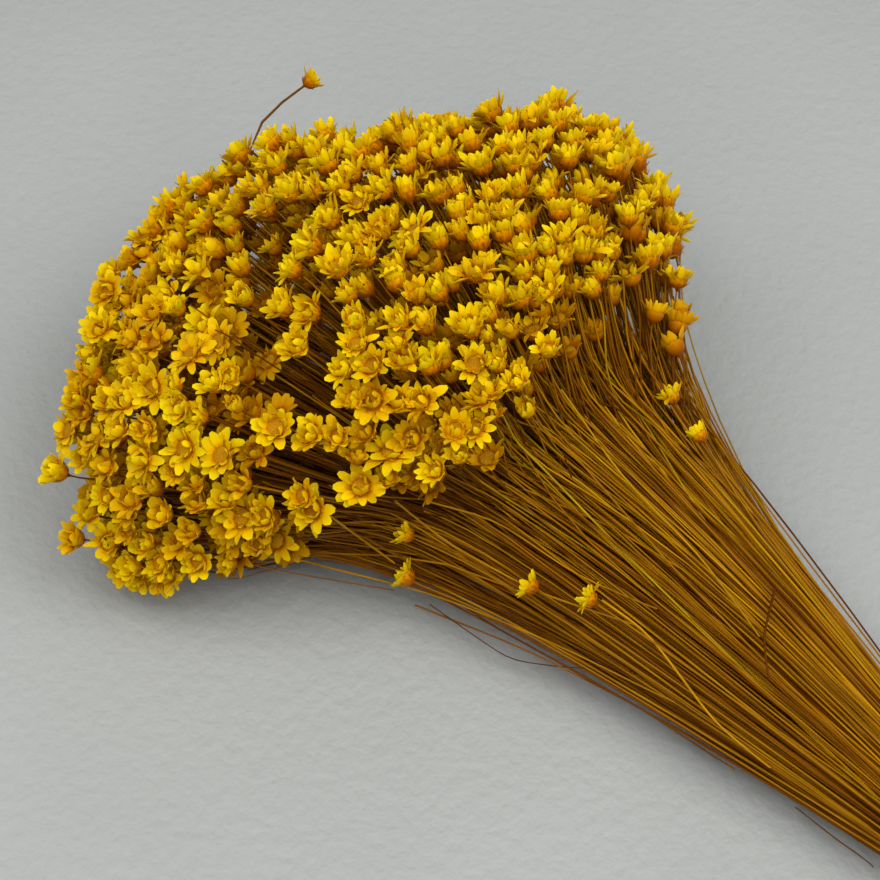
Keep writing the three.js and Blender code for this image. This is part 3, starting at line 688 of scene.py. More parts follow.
def outer_path(side, reach, stand):
    """A stem outside the bunch: it follows the bunch's own side and stands off it ever further."""
    u, v = np.array(np.cos(np.radians(side))), np.array(np.sin(np.radians(side)))
    ends = crown(u, v, np.array(0.0))

    def points(s):
        share = np.maximum(s, 0) / reach
        lift = OUTER.lift * np.clip(s / OUTER.lift_run, 0, 1)
        out = u * mix(ACROSS, CROWN_ACROSS, np.maximum(s, 0)[:, None]) + v * UP
        off = OUTER.seat + lift + stand * share**OUTER.stand_power
        return stem_path((u, v), (u, v), ends, s) + off[:, None] * out

    last = points(reach * np.array((1 - 1 / OUTER.steps, 1.0)))
    stations = np.where(STEM_STATIONS > 0, STEM_STATIONS * reach, STEM_STATIONS)
    return points(stations), unit(last[1] - last[0])


# ---- Shapes ----

STEM_SIDES, CUP_SIDES = 5, 8
BRACT_RINGS, SCALE_RINGS = (0, 0.36, 0.72, 1), (0, 1)


def tube_faces(tubes, rings, sides):
    """Corners of the faces of closed tubes: quads between the rings, and quads over both ends."""
    ring, side = np.meshgrid(sides * np.arange(rings - 1), np.arange(sides), indexing="ij")
    after = (side + 1) % sides
    wall = np.stack((ring + side, ring + sides + side, ring + sides + after, ring + after), -1)
    odd = np.arange(1, sides - 2, 2)
    start = np.stack((0 * odd, odd, odd + 1, odd + 2), -1)
    end = start[:, ::-1] + (rings - 1) * sides
    one = np.concatenate((wall.reshape(-1, 4), start, end))
    return (one + rings * sides * np.arange(tubes)[:, None, None]).reshape(-1, 4)


def together(shape, *parts):
    """Parts of a vector, each spread over the same shape."""
    return np.stack([np.broadcast_to(part, shape) for part in parts], -1)


def axes_of(flowers):
    """Each head's own axes: two across it, turned by its spin, and its heading."""
    across = unit(np.cross(flowers.heading, ALONG + 0.3 * ACROSS + 0.2 * UP))
    up = np.cross(flowers.heading, across)
    cos, sin = np.cos(flowers.spin)[:, None], np.sin(flowers.spin)[:, None]
    return np.stack((cos * across + sin * up, cos * up - sin * across, flowers.heading), 1)


def on_heads(flowers, local):
    """Points given in the heads' own axes and in millimetres, at their real places."""
    extra = (1,) * (local.ndim - 2)
    size = (MM * flowers.size).reshape(-1, *extra, 1)
    turned = np.einsum("n...k,nkj->n...j", local * size, axes_of(flowers))
    return turned + flowers.place.reshape(-1, *extra, 3)


def cup_form(openness):
    """A cup's radius, height and rim angle in millimetres and radians. Buds are closed at the rim."""
    return mix(2.35, 2.55, openness), mix(2.9, 2.1, openness), np.radians(mix(104, 97, openness))


def bract_row(flowers, rng, count, turn, foot, rise, curl, length, width, thick, hollow, rings, spread):
    """A row of bracts or scales, as flat closed tubes with four corners.

    A bract starts at its foot, a radius and a height, at its own azimuth, and runs along an arc
    whose elevation goes from rise to rise + curl. Half its width is width times
    sin(π (0.14 + 0.8 t)) ** (1.8 - 1.02 broad) at the share t of its length, and its edges
    are lifted by hollow times the square of that.
    """

    def own(values):
        return np.broadcast_to(values, flowers.count)[:, None, None]

    shape = (flowers.count, count, 1)
    t = np.array(rings, float)
    azimuth = 2 * np.pi * (np.arange(count)[:, None] + turn + rng.normal(0, 0.13 * spread, shape)) / count
    foot_radius, foot_height = map(own, foot)
    rise = own(rise) + rng.normal(0, 0.16 * spread, shape)
    curl = own(curl) + rng.normal(0, 0.2 * spread, shape)
    length = own(length) * (1 + rng.normal(0, 0.09 * spread, shape))
    width = width * (1 + rng.normal(0, 0.1 * spread, shape)) * own(flowers.broad)
    roll = rng.normal(0, 0.35 * spread, shape) * t
    chord = length * t * np.sinc(curl * t / (2 * np.pi))
    outward = foot_radius + chord * np.cos(rise + curl * t / 2)
    upward = foot_height + chord * np.sin(rise + curl * t / 2)
    elevation = rise + curl * t
    away = np.stack((np.cos(azimuth), np.sin(azimuth), 0 * azimuth), -1)
    beside = np.stack((-np.sin(azimuth), np.cos(azimuth), 0 * azimuth), -1)
    inner = -np.sin(elevation)[..., None] * away + np.cos(elevation)[..., None] * UP
    edge = np.cos(roll)[..., None] * beside + np.sin(roll)[..., None] * inner
    face = np.cos(roll)[..., None] * inner - np.sin(roll)[..., None] * beside
    outline = np.sin(np.pi * (0.14 + 0.8 * t)) ** (1.8 - 1.02 * own(flowers.broad))
    half = (width * outline)[..., None]
    lifted = (hollow * outline**2)[..., None] * face
    middle = outward[..., None] * away + upward[..., None] * UP
    left, right = middle - half * edge + lifted, middle + half * edge + lifted
    local = np.stack((left, middle + 0.3 * thick * face, right, middle - 0.7 * thick * face), -2)
    chance = rng.uniform(0, 1, shape)[..., None]
    corners = local.shape[:-1]
    grain = together(corners, half * (-1, 0, 1, 0), (length * t)[..., None], 40 * chance)
    # The third tone value is the head's tone, which holds painted shade for heads deep in the crown.
    tone = together(corners, t[:, None], chance, own(flowers.tone)[..., None])
    return SimpleNamespace(points=on_heads(flowers, local), grain=grain, tone=tone)


def star_shapes(flowers, rng):
    """The papery bracts of all heads: a long outer row and a shorter, more upright inner row."""
    settings = bpy.context.scene.star_flowers
    openness = flowers.openness
    radius, height, rim = cup_form(openness)
    length = settings.bract_length / MM * mix(0.8, 1.0, openness)
    width = settings.bract_width / MM / 2
    outer = bract_row(
        flowers, rng, count=12, turn=0.0, rings=BRACT_RINGS, spread=1.5,
        foot=(radius * np.sin(rim) * 0.93, height * (1 - np.cos(rim)) - 0.25),
        rise=np.radians(mix(84, 4, openness)), curl=np.radians(mix(36, 14, openness)),
        length=length, width=width, thick=0.16, hollow=0.40,
    )
    cupped = rng.uniform(48, 86, flowers.count) - 35 * np.clip((openness - 0.85) / 0.15, 0, 1)
    inner = bract_row(
        flowers, rng, count=9, turn=0.5, rings=BRACT_RINGS, spread=1.7,
        foot=(radius * np.sin(rim) * 0.76, height * (1 - np.cos(rim)) - 0.1),
        rise=np.radians(mix(96, cupped, openness)), curl=np.radians(mix(34, 20, openness)),
        length=0.86 * length, width=0.85 * width, thick=0.16, hollow=0.30,
    )
    return [outer, inner]


def scale_shapes(flowers, rng):
    """The small scales that overlap up each cup, two rows with nine in each."""
    radius, height, rim = cup_form(flowers.openness)
    rows = []
    for row, share in enumerate((0.38, 0.68)):
        angle = rim * share
        slope = np.arctan2(height * np.sin(angle), radius * np.cos(angle))
        foot = (radius * np.sin(angle) - 0.1, height * (1 - np.cos(angle)))
        scales = bract_row(
            flowers, rng, count=9, turn=row / 2, rings=SCALE_RINGS, spread=0.4, foot=foot,
            rise=slope - np.radians(2), curl=np.radians(12), length=1.9, width=0.9, thick=0.2, hollow=0.12,
        )
        scales.tone[..., 0] = (row + scales.tone[..., 0]) / 2
        rows.append(scales)
    return rows


def lathe_rings(flowers):
    """Radius and height of a cup's rings: the neck, the outside up to the rim, and the florets.

    The outside is radius sin a and height (1 - cos a) while a runs to the rim angle.
    """
    radius, height, rim = cup_form(flowers.openness)
    shares = np.array((0.2, 0.42, 0.62, 0.82, 1.0))
    angle = rim[:, None] * shares
    outside = np.stack((radius[:, None] * np.sin(angle), height[:, None] * (1 - np.cos(angle))), -1)
    neck = np.broadcast_to(((0.3, -0.7), (0.5, -0.05)), (flowers.count, 2, 2))
    rim_radius, rim_height = outside[:, -1, 0, None], outside[:, -1, 1, None]
    shrink = np.array((0.86, 0.5, 0.12))
    dome = np.array((-0.1, 0.3, 0.42))
    florets = np.stack((rim_radius * shrink, rim_height + dome), -1)
    return neck, outside, florets


def cup_shapes(flowers):
    """The cup and the florets of each head, turned about its heading. They meet at the cup's rim."""
    neck, outside, florets = lathe_rings(flowers)
    azimuth = -2 * np.pi * np.arange(CUP_SIDES) / CUP_SIDES
    shapes = []
    for profile in (np.concatenate((neck, outside), 1), np.concatenate((outside[:, -1:], florets), 1)):
        radius, height = profile[..., 0, None], profile[..., 1, None]
        corners = (*profile.shape[:2], CUP_SIDES)
        local = together(corners, radius * np.cos(azimuth), radius * np.sin(azimuth), height)
        # The head's tone, which holds painted shade for heads deep in the crown, is both the second and the
        # third tone value of its cup.
        own = flowers.tone[:, None, None]
        grain = local + 30 * own[..., None]
        tone = together(corners, np.clip(height / 3.5, 0, 1), own, own)
        shapes.append(SimpleNamespace(points=on_heads(flowers, local), grain=grain, tone=tone))
    return shapes


def stem_shapes(flowers, rng):
    """The stems as five-sided tubes, each thinner towards its head and a little uneven."""
    settings = bpy.context.scene.star_flowers
    count, stations = flowers.paths.shape[:2]
    direction = unit(np.gradient(flowers.paths, axis=1))
    bend = unit(np.cross(ALONG, flowers.heading) + 1e-3 * ACROSS)[:, None, :]
    side = unit(bend - (bend * direction).sum(-1, keepdims=True) * direction)
    other = np.cross(side, direction)
    share = np.linspace(0, 1, stations)
    own_size = flowers.slim[:, None] * (1 + rng.normal(0, 0.12, (count, 1)))
    uneven = mix(1.08, 0.86, share) * (1 + rng.normal(0, 0.05, (count, stations)))
    thickness = settings.stem_thickness / 2 * own_size * uneven
    angle = 2 * np.pi * np.arange(STEM_SIDES) / STEM_SIDES
    ring = np.cos(angle)[:, None] * side[..., None, :] + np.sin(angle)[:, None] * other[..., None, :]
    points = flowers.paths[..., None, :] + thickness[..., None, None] * ring
    own = flowers.straw[:, None, None]
    steps = np.linalg.norm(np.diff(flowers.paths, axis=1), axis=-1) / MM
    distance = np.concatenate((np.zeros((count, 1)), np.cumsum(steps, 1)), 1)[..., None]
    corners = points.shape[:-1]
    grain = together(corners, np.sin(angle), distance, 40 * own)
    # The third tone value is the stem's shade: painted shade deep in the bunch and on its lower left flank,
    # and the own dark colour of some loose stems and tips.
    tone = together(corners, share[:, None], own, flowers.shade[:, None, None])
    return SimpleNamespace(points=points, grain=grain, tone=tone)


# ---- Meshes ----


def write_mesh(name, parts, materials, sharp):
    """One mesh of closed tubes, from parts (shape, material index). Points end in rings, sides, 3."""
    points, quads, grain, tone, indices, offset = [], [], [], [], [], 0
    for shape, material in parts:
        rings, sides = shape.points.shape[-3:-1]
        places = shape.points.reshape(-1, 3)
        faces = tube_faces(len(places) // (rings * sides), rings, sides) + offset
        points.append(places)
        quads.append(faces)
        grain.append(shape.grain.reshape(-1, 3))
        tone.append(shape.tone.reshape(-1, 3))
        indices.append(np.full(len(faces), material))
        offset += len(places)
    points, quads, grain, tone, indices = map(np.concatenate, (points, quads, grain, tone, indices))
    mesh = bpy.data.meshes.new(name)
    mesh.vertices.add(len(points))
    mesh.vertices.foreach_set("co", points.ravel())
    mesh.loops.add(quads.size)
    mesh.loops.foreach_set("vertex_index", quads.ravel().astype(np.int32))
    mesh.polygons.add(len(quads))
    mesh.polygons.foreach_set("loop_start", np.arange(0, quads.size, 4, dtype=np.int32))
    mesh.polygons.foreach_set("material_index", indices.astype(np.int32))
    mesh.update(calc_edges=True)
    for key, values in (("grain", grain), ("tone", tone)):
        mesh.attributes.new(key, "FLOAT_VECTOR", "POINT").data.foreach_set("vector", values.ravel())
    mesh.validate()
    mesh.shade_smooth()
    mesh.set_sharp_from_angle(angle=np.radians(sharp))
    for material in materials:
        mesh.materials.append(material)
    return mesh


def add_piece(name, parts, materials, node, sharp=75):
    """A piece at the origin that rides on the bunch, stands for a node and takes the materials it is given.
    """
    piece = bpy.data.objects.new(name, write_mesh(name, parts, materials, sharp))
    bpy.context.scene.collection.objects.link(piece)
    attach(piece, "root")
    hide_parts(node)
    return piece


def only(shape, pick):
    """The part of a shape that belongs to the picked flowers."""
    return SimpleNamespace(points=shape.points[pick], grain=shape.grain[pick], tone=shape.tone[pick])


# ---- Materials ----


def add_node(tree, kind, inputs=(), output=0, **settings):
    """Adds a node, sets its settings and inputs (values or other nodes' outputs), and returns an output."""
    new = tree.nodes.new(kind)
    for key, value in settings.items():
        setattr(new, key, value)
    for socket, value in dict(inputs).items():
        if isinstance(value, bpy.types.NodeSocket):
            tree.links.new(value, new.inputs[socket])
        else:
            new.inputs[socket].default_value = value
    return new.outputs[output]


def add_ramp(tree, share, stops):
    """A colour that follows share through stops of (share, colour)."""
    new = tree.nodes.new("ShaderNodeValToRGB")
    elements = new.color_ramp.elements
    while len(elements) < len(stops):
        elements.new(0.5)
    for element, (place, colour) in zip(elements, stops, strict=True):
        element.position = place
        element.color = (*colour[:3], 1)
    tree.links.new(share, new.inputs["Fac"])
    return new.outputs["Color"]


def mix_colours(tree, share, a, b, blend="MIX"):
    """a at share 0 and b at share 1. Each is a colour or another node's output."""
    a, b = (each if isinstance(each, bpy.types.NodeSocket) else (*each[:3], 1) for each in (a, b))
    inputs = {0: share, 6: a, 7: b}
    return add_node(tree, "ShaderNodeMix", inputs, output=2, data_type="RGBA", blend_type=blend)


def times(tree, colour, factor):
    """A colour multiplied by a factor for each of its parts."""
    return mix_colours(tree, 1.0, colour, factor, "MULTIPLY")


def map_range(tree, value, low, high, to_low, to_high):
    """A value moved from the range low to high onto the range to_low to to_high."""
    inputs = {0: value, 1: low, 2: high, 3: to_low, 4: to_high}
    return add_node(tree, "ShaderNodeMapRange", inputs)


def read_attribute(tree, name):
    return add_node(tree, "ShaderNodeAttribute", output=1, attribute_name=name)


def layer(tree, colour, over, value, low, high, amount):
    """A colour under another, whose share rises to an amount as a value goes from low to high."""
    return mix_colours(tree, map_range(tree, value, low, high, 0.0, amount), colour, over)


def noise(tree, vector, scale, stretch=(1, 1, 1), detail=3, roughness=0.55):
    """Noise of a scale, after the vector is stretched."""
    placed = add_node(tree, "ShaderNodeVectorMath", {0: vector, 1: stretch}, operation="MULTIPLY")
    inputs = {"Vector": placed, "Scale": scale, "Detail": detail, "Roughness": roughness}
    return add_node(tree, "ShaderNodeTexNoise", inputs)


def split(tree, vector):
    """The three parts of a vector."""
    new = tree.nodes.new("ShaderNodeSeparateXYZ")
    tree.links.new(vector, new.inputs[0])
    return new.outputs


def bump(tree, height, distance, strength):
    return add_node(tree, "ShaderNodeBump", {"Height": height, "Distance": distance, "Strength": strength})


def finish(material, colour, roughness, normal, **constants):
    """Links a material's colour, roughness and normal, and sets its constants on the shader."""
    tree = material.node_tree
    shader = tree.nodes["Principled BSDF"]
    tree.links.new(colour, shader.inputs["Base Color"])
    tree.links.new(roughness, shader.inputs["Roughness"])
    tree.links.new(normal, shader.inputs["Normal"])
    for key, value in constants.items():
        shader.inputs[key.replace("_", " ")].default_value = value
    return material


def new_material(name):
    material = bpy.data.materials.new(name)
    material.use_nodes = True
    return material, material.node_tree


def bract_material():
    """Dry petal paper: amber at the foot, lemon at the tip, with fine veins along it."""
    settings = bpy.context.scene.star_flowers
    material, tree = new_material("bract_paper")
    along, own, flower = split(tree, read_attribute(tree, "tone"))
    grain = read_attribute(tree, "grain")
    foot, body, tip = settings.bract_foot_colour, settings.bract_colour, settings.bract_tip_colour
    colour = add_ramp(tree, along, ((0.0, foot), (0.3, body), (1.0, tip)))
    dull = times(tree, colour, (0.90, 0.74, 1.0))
    colour = layer(tree, colour, dull, own, 0.45, 1.0, 0.6)
    # The flower value is the head's random and lobe tone plus painted shade for heads deep in the crown.
    # The ochre layer follows all of it, and the brown layer above 1.0 is mostly that painted shade.
    ochre = times(tree, colour, (0.87, 0.63, 0.8))
    colour = layer(tree, colour, ochre, flower, 0.3, 1.0, 0.8)
    brown = times(tree, colour, (0.62, 0.40, 0.3))
    colour = layer(tree, colour, brown, flower, 1.0, 1.8, 1.0)
    veins = noise(tree, grain, 1.0, (4.5, 0.35, 1.0), detail=2)
    colour = layer(tree, colour, dull, veins, 0.35, 0.7, 0.4)
    cloud = noise(tree, grain, 0.8, detail=2)
    roughness = map_range(tree, cloud, 0.3, 0.7, 0.42, 0.62)
    return finish(
        material, colour, roughness, bump(tree, veins, 0.00012, 0.35),
        Specular_IOR_Level=0.3, Specular_Tint=(1.0, 0.72, 0.06, 1),
        Sheen_Weight=0.35, Sheen_Roughness=0.5, Sheen_Tint=(1.0, 0.42, 0.01, 1),
    )


def scale_material():
    """Thin dry scales: dark brown at the foot of the cup, amber above, paler in the middle of each."""
    settings = bpy.context.scene.star_flowers
    material, tree = new_material("cup_scales")
    rise, own, flower = split(tree, read_attribute(tree, "tone"))
    grain = read_attribute(tree, "grain")
    low, high, top = settings.cup_foot_colour, settings.cup_colour, settings.bract_colour
    middle = mix(np.array(low), np.array(high), 0.6)
    colour = add_ramp(tree, rise, ((0.0, low), (0.3, middle), (0.6, high), (1.0, top)))
    dark = times(tree, colour, (0.55, 0.42, 0.35))
    fibres = noise(tree, grain, 1.0, (3.0, 0.8, 1.0), detail=3)
    colour = layer(tree, colour, dark, fibres, 0.4, 0.7, 0.7)
    # The flower value, and on the cups the own value too, is the head's tone, which holds painted shade for
    # heads deep in the crown. On the scales the own value is random.
    colour = layer(tree, colour, dark, own, 0.5, 1.0, 0.6)
    colour = layer(tree, colour, dark, flower, 0.0, 1.0, 0.5)
    roughness = map_range(tree, fibres, 0.3, 0.7, 0.4, 0.6)
    return finish(
        material, colour, roughness, bump(tree, fibres, 0.00015, 0.6),
        Specular_IOR_Level=0.3, Specular_Tint=(1.0, 0.55, 0.08, 1),
    )


def floret_material():
    """The close tuft of florets: ochre grains."""
    settings = bpy.context.scene.star_flowers
    material, tree = new_material("florets")
    grain = read_attribute(tree, "grain")
    _, _, flower = split(tree, read_attribute(tree, "tone"))
    grains = add_node(tree, "ShaderNodeTexVoronoi", {"Vector": grain, "Scale": 2.6})
    deep = times(tree, settings.floret_colour, (0.75, 0.6, 0.5))
    colour = layer(tree, settings.floret_colour, deep, grains, 0.2, 0.6, 1.0)
    # Darker by the head's tone, which is random tone and painted shade for heads deep in the crown.
    colour = layer(tree, colour, deep, flower, 0.0, 1.0, 0.5)
    roughness = map_range(tree, grains, 0.0, 0.6, 0.55, 0.75)
    inverse = map_range(tree, grains, 0.0, 0.7, 1.0, 0.0)
    return finish(material, colour, roughness, bump(tree, inverse, 0.0003, 0.8), Specular_IOR_Level=0.15)


def stem_material():
    """Dry straw: every stem its own shade from olive gold to red brown, ribbed along its length."""
    settings = bpy.context.scene.star_flowers
    material, tree = new_material("straw_stem")
    along, own, shade = split(tree, read_attribute(tree, "tone"))
    grain = read_attribute(tree, "grain")
    stops = (
        (0.0, settings.stem_dark_colour), (0.45, settings.stem_colour),
        (0.85, settings.stem_light_colour), (1.0, settings.stem_green_colour),
    )
    colour = add_ramp(tree, own, stops)
    dark = times(tree, colour, (0.40, 0.27, 0.15))
    patches = noise(tree, grain, 1.0, (1.0, 0.06, 1.0), detail=4)
    colour = layer(tree, colour, dark, patches, 0.42, 0.7, 0.8)
    # Painted shade: stems deep in the bunch and on its lower left flank go towards the deep colour by their
    # shade value, which also holds the own dark colour of some loose stems and tips.
    deep = times(tree, colour, (0.28, 0.12, 0.05))
    colour = mix_colours(tree, shade, colour, deep)
    # Darker towards the head, where the stems run in among the heads: painted shade.
    colour = layer(tree, colour, dark, along, 0.6, 1.0, 0.5)
    ribs = noise(tree, grain, 1.0, (1.6, 0.12, 1.0), detail=1)
    roughness = map_range(tree, patches, 0.3, 0.7, 0.38, 0.6)
    return finish(
        material, colour, roughness, bump(tree, ribs, 0.0001, 0.3),
        Specular_IOR_Level=0.4, Specular_Tint=(1.0, 0.6, 0.12, 1),
        Sheen_Weight=0.1, Sheen_Roughness=0.5, Sheen_Tint=(1.0, 0.35, 0.02, 1),
    )


def raffia_material():
    """Raffia: pale brown fibres side by side along the strip."""
    settings = bpy.context.scene.star_flowers
    material, tree = new_material("raffia")
    grain = read_attribute(tree, "grain")
    fibres = noise(tree, grain, 1.0, (0.12, 4.0, 1.0), detail=4)
    patches = noise(tree, grain, 0.25, detail=2)
    light = settings.raffia_colour
    dark = times(tree, light, (0.5, 0.42, 0.34))
    colour = layer(tree, light, dark, fibres, 0.35, 0.68, 0.9)
    colour = layer(tree, colour, dark, patches, 0.4, 0.7, 0.5)
    roughness = map_range(tree, fibres, 0.3, 0.7, 0.55, 0.75)
    return finish(material, colour, roughness, bump(tree, fibres, 0.0002, 0.8))


def floor_material():
    """Pale grey paint with a faint grain."""
    settings = bpy.context.scene.flower_stage
    material, tree = new_material("floor_paint")
    place = add_node(tree, "ShaderNodeTexCoord", output=3)
    cloud = noise(tree, place, 9.0, detail=2)
    pits = noise(tree, place, 260.0, detail=2)
    darker = times(tree, settings.floor_colour, (0.94, 0.94, 0.94))
    colour = layer(tree, settings.floor_colour, darker, cloud, 0.35, 0.65, 1.0)
    roughness = map_range(tree, pits, 0.3, 0.7, 0.55, 0.7)
    return finish(material, colour, roughness, bump(tree, pits, 0.0008, 0.8))


# ---- The tie ----

RAFFIA = SimpleNamespace(
    turns=3, pitch=0.00245, strip=0.0031, thick=0.00055, over=0.00012, stations=72, sides=8,
)
WAVER = SimpleNamespace(along=(0.00016, 0.0001), out=0.0001)


def raffia_shape(rng):
    """A strip of raffia wound round the stems in closed turns that lie against each other.

    A turn is a ring about the tie's axis. Its radius and its place along the axis waver with
    sines of the angle, and its section is a flat superellipse.
    """
    angle = -2 * np.pi * np.arange(RAFFIA.stations) / RAFFIA.stations
    section = 2 * np.pi * np.arange(RAFFIA.sides) / RAFFIA.sides
    middle = TIE.stems_radius + TIE.gap + TIE.wall / 2
    turns = []
    for turn in range(RAFFIA.turns):
        phase = rng.uniform(0, 2 * np.pi, 3)
        along = (turn - (RAFFIA.turns - 1) / 2) * RAFFIA.pitch + WAVER.along[0] * np.sin(angle + phase[0])
        along = along + WAVER.along[1] * np.sin(3 * angle + phase[1])
        radius = middle + WAVER.out * np.sin(2 * angle + phase[2]) + RAFFIA.over * (turn % 2)
        flat = np.sign(np.cos(section)) * np.abs(np.cos(section)) ** 0.5 * RAFFIA.strip / 2
        high = np.sign(np.sin(section)) * np.abs(np.sin(section)) ** 0.7 * RAFFIA.thick / 2
        reach = radius[:, None] + high
        around = angle[:, None] + 0 * high
        points = np.stack((along[:, None] + flat, reach * np.cos(around), reach * np.sin(around)), -1)
        grain = together(around.shape, around * middle / MM, flat / MM, 20.0 + 5 * turn)
        tone = together(around.shape, 0.0, 0.3 * turn, around)
        turns.append((points + SHIFT + TIE.centre, grain, tone))
    return [np.stack(values) for values in zip(*turns, strict=True)]


def ring_faces(rings, stations, sides):
    """Corners of the quads of closed rings, each of a number of stations with sides corners."""
    station, side = np.meshgrid(np.arange(stations), np.arange(sides), indexing="ij")
    here, ahead, after = station * sides, (station + 1) % stations * sides, (side + 1) % sides
    one = np.stack((here + side, ahead + side, ahead + after, here + after), -1)
    return (one.reshape(-1, 4) + stations * sides * np.arange(rings)[:, None, None]).reshape(-1, 4)


# ---- Settings ----


def length_property(name, description, default):
    return bpy.props.FloatProperty(
        name=name, description=description, default=default, unit="LENGTH", precision=5,
    )


def colour_property(name, description, default):
    return bpy.props.FloatVectorProperty(
        name=name, description=description, default=default, subtype="COLOR", min=0, max=1,
    )


class StarFlowerSettings(bpy.types.PropertyGroup):
    """Sizes and colours of the flowers and of their tie."""

    bract_length: length_property("Bract length", "Length of an open head's outer bract", 0.00355)
    bract_width: length_property("Bract width", "Width of a bract", 0.0021)
    stem_thickness: length_property("Stem thickness", "Thickness of a stem at its middle", 0.00056)
    bract_colour: colour_property("Bract", "Colour of the bracts", (0.83, 0.56, 0.0))
    bract_tip_colour: colour_property("Bract tip", "Colour of the bracts' tips", (0.90, 0.725, 0.004))
    bract_foot_colour: colour_property("Bract foot", "Colour of the bracts' feet", (0.56, 0.19, 0.0))
    cup_colour: colour_property("Cup", "Colour of the cup's upper scales", (0.71, 0.255, 0.0))
    cup_foot_colour: colour_property("Cup foot", "Colour of the cup's lowest scales", (0.36, 0.09, 0.0))
    floret_colour: colour_property("Florets", "Colour of the florets", (0.68, 0.37, 0.0))
    stem_colour: colour_property("Stem", "Colour of most stems", (0.385, 0.162, 0.001))
    stem_dark_colour: colour_property("Dark stem", "Colour of the darkest stems", (0.24, 0.07, 0.0))
    stem_light_colour: colour_property("Light stem", "Colour of the lightest stems", (0.62, 0.300, 0.003))
    stem_green_colour: colour_property("Green stem", "Colour of the greenish stems", (0.42, 0.29, 0.004))
    raffia_colour: colour_property("Raffia", "Colour of the tie", (0.52, 0.35, 0.17))


class FlowerStageSettings(bpy.types.PropertyGroup):
    """The floor and the light."""

    floor_size: length_property("Floor size", "Width of the floor", 6.0)
    floor_colour: colour_property("Floor", "Colour of the floor", (0.42, 0.435, 0.418))
    lamp_power: bpy.props.FloatProperty(
        name="Lamp power", description="Power of all lamps together", default=23.5, unit="POWER",
    )


# ---- Operators ----


def build_group(flowers, shapes, materials, node, name):
    """The three pieces of the flowers that stand for one node: their bracts, their cups and their stems."""
    pick = flowers.node == node
    heads = pick & flowers.headed
    bracts, cups, stems = shapes
    parts = [(only(bracts[0], heads), 0), (only(bracts[1], heads & flowers.shallow), 0)]
    add_piece(f"bracts_{name}", parts, materials[:1], node)
    parts = [(only(shape, heads & shown), index) for shape, index, shown in cups]
    add_piece(f"cups_{name}", parts, materials[1:3], node)
    add_piece(f"stems_{name}", [(only(stems, pick), 0)], materials[3:4], node)


def build_flowers(wanted):
    """Builds the flowers of every node whose name passes the test."""
    flowers = gather_flowers()
    rng = np.random.default_rng(SEED + 1)
    bracts = star_shapes(flowers, rng)
    cup, florets = cup_shapes(flowers)
    low_scales, high_scales = scale_shapes(flowers, rng)
    cups = [(low_scales, 0, flowers.shallow & ~flowers.near), (high_scales, 0, flowers.shallow)]
    cups += [(cup, 0, flowers.headed), (florets, 1, flowers.openness > OPEN_DISC)]
    shapes = (bracts, cups, stem_shapes(flowers, rng))
    makers = {"bract_paper": bract_material, "cup_scales": scale_material, "florets": floret_material,
              "straw_stem": stem_material}
    materials = [bpy.data.materials.get(name) or make() for name, make in makers.items()]
    for node in sorted(set(flowers.node)):
        if wanted(node):
            build_group(flowers, shapes, materials, node, node.removeprefix("flower_"))


class FLOWERS_OT_crown(bpy.types.Operator):
    """Build the flowers of the crown, sheaf by sheaf"""

    bl_idname = "flowers.crown"
    bl_label = "Crown of flowers"

    def execute(self, context):
        build_flowers(lambda node: node.startswith("flower_sheaf_"))
        return {"FINISHED"}


class FLOWERS_OT_outer(bpy.types.Operator):
    """Build the flowers outside the bunch"""

    bl_idname = "flowers.outer"
    bl_label = "Outer flowers"

    def execute(self, context):
        build_flowers(lambda node: not node.startswith("flower_sheaf_"))
        return {"FINISHED"}


class FLOWERS_OT_tie(bpy.types.Operator):
    """Build the raffia tie"""

    bl_idname = "flowers.tie"
    bl_label = "Raffia tie"

    def execute(self, context):
        points, grain, tone = raffia_shape(np.random.default_rng(SEED + 2))
        mesh = bpy.data.meshes.new("raffia_tie")
        quads = ring_faces(RAFFIA.turns, RAFFIA.stations, RAFFIA.sides)
        mesh.from_pydata(points.reshape(-1, 3), [], quads)
        for key, values in (("grain", grain), ("tone", tone)):
            mesh.attributes.new(key, "FLOAT_VECTOR", "POINT").data.foreach_set("vector", values.ravel())
        mesh.shade_smooth()
        mesh.materials.append(raffia_material())
        piece = bpy.data.objects.new("raffia_tie", mesh)
        context.scene.collection.objects.link(piece)
        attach(piece, "root")
        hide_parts("tie")
        return {"FINISHED"}


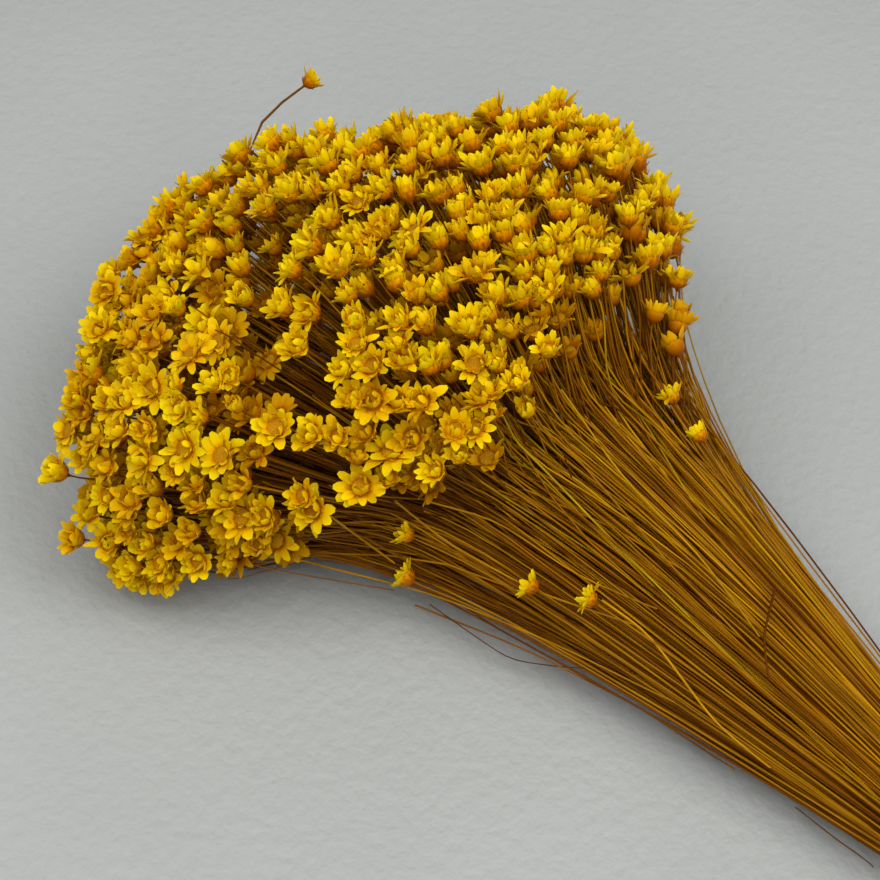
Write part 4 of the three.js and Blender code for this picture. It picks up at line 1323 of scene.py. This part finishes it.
class FLOWERS_OT_stage(bpy.types.Operator):
    """Build the floor, the lamps and the camera"""

    bl_idname = "flowers.stage"
    bl_label = "Stage"

    def execute(self, context):
        scene = context.scene
        settings = scene.flower_stage
        half = settings.floor_size / 2
        mesh = bpy.data.meshes.new("floor")
        corners = [(-half, -half, 0), (half, -half, 0), (half, half, 0), (-half, half, 0)]
        mesh.from_pydata(corners, [], [(0, 1, 2, 3)])
        mesh.materials.append(floor_material())
        floor = bpy.data.objects.new("floor", mesh)
        scene.collection.objects.link(floor)
        world = bpy.data.worlds.new("studio")
        scene.world = world
        world.use_nodes = True
        for key, value in WORLD.items():
            world.node_tree.nodes["Background"].inputs[key].default_value = value
        for name, (bearing, share) in LAMPS.items():
            bearing, height = np.radians((bearing, LAMP_HEIGHT))
            level = np.cos(height)
            way = np.array((level * np.cos(bearing), level * np.sin(bearing), np.sin(height)))
            self.add_lamp(scene, name, LAMP_DISTANCE * way, LAMP_SIZE, share * settings.lamp_power)
        place, right, up, forward = camera_axes()
        camera = bpy.data.cameras.new("camera")
        camera.lens, camera.sensor_width = CAMERA.lens, CAMERA.sensor
        camera.clip_start, camera.clip_end = CAMERA.nearest, CAMERA.farthest
        view = bpy.data.objects.new("camera", camera)
        turn = Matrix((right, up, -forward)).transposed()
        view.matrix_world = Matrix.Translation(Vector(place)) @ turn.to_4x4()
        scene.collection.objects.link(view)
        scene.camera = view
        scene.view_settings.view_transform = "Standard"
        return {"FINISHED"}

    def add_lamp(self, scene, name, place, size, power):
        lamp = bpy.data.lights.new(name, "AREA")
        lamp.shape, lamp.size, lamp.energy = "DISK", size, power
        lamp_object = bpy.data.objects.new(name, lamp)
        lamp_object.matrix_world = (
            Matrix.Translation(Vector(place)) @ Vector(place).to_track_quat("Z", "Y").to_matrix().to_4x4()
        )
        scene.collection.objects.link(lamp_object)


class FLOWERS_PT_bunch(bpy.types.Panel):
    """Sizes and colours of the bunch, and the steps that build it"""

    bl_idname = "FLOWERS_PT_bunch"
    bl_label = "Dried star flowers"
    bl_space_type = "VIEW_3D"
    bl_region_type = "UI"
    bl_category = "Flowers"

    def draw(self, context):
        for settings in (context.scene.star_flowers, context.scene.flower_stage):
            for key in settings.__annotations__:
                self.layout.prop(settings, key)
        for step in STEPS:
            self.layout.operator(step.bl_idname)


STEPS = (FLOWERS_OT_crown, FLOWERS_OT_outer, FLOWERS_OT_tie, FLOWERS_OT_stage)
CLASSES = (StarFlowerSettings, FlowerStageSettings, *STEPS, FLOWERS_PT_bunch)


def register():
    for each in CLASSES:
        bpy.utils.register_class(each)
    bpy.types.Scene.star_flowers = bpy.props.PointerProperty(type=StarFlowerSettings)
    bpy.types.Scene.flower_stage = bpy.props.PointerProperty(type=FlowerStageSettings)


def unregister():
    del bpy.types.Scene.star_flowers
    del bpy.types.Scene.flower_stage
    for each in reversed(CLASSES):
        bpy.utils.unregister_class(each)


def main():
    register()
    bpy.ops.flowers.crown()
    bpy.ops.flowers.outer()
    bpy.ops.flowers.tie()
    bpy.ops.flowers.stage()


if __name__ == "__main__":
    main()
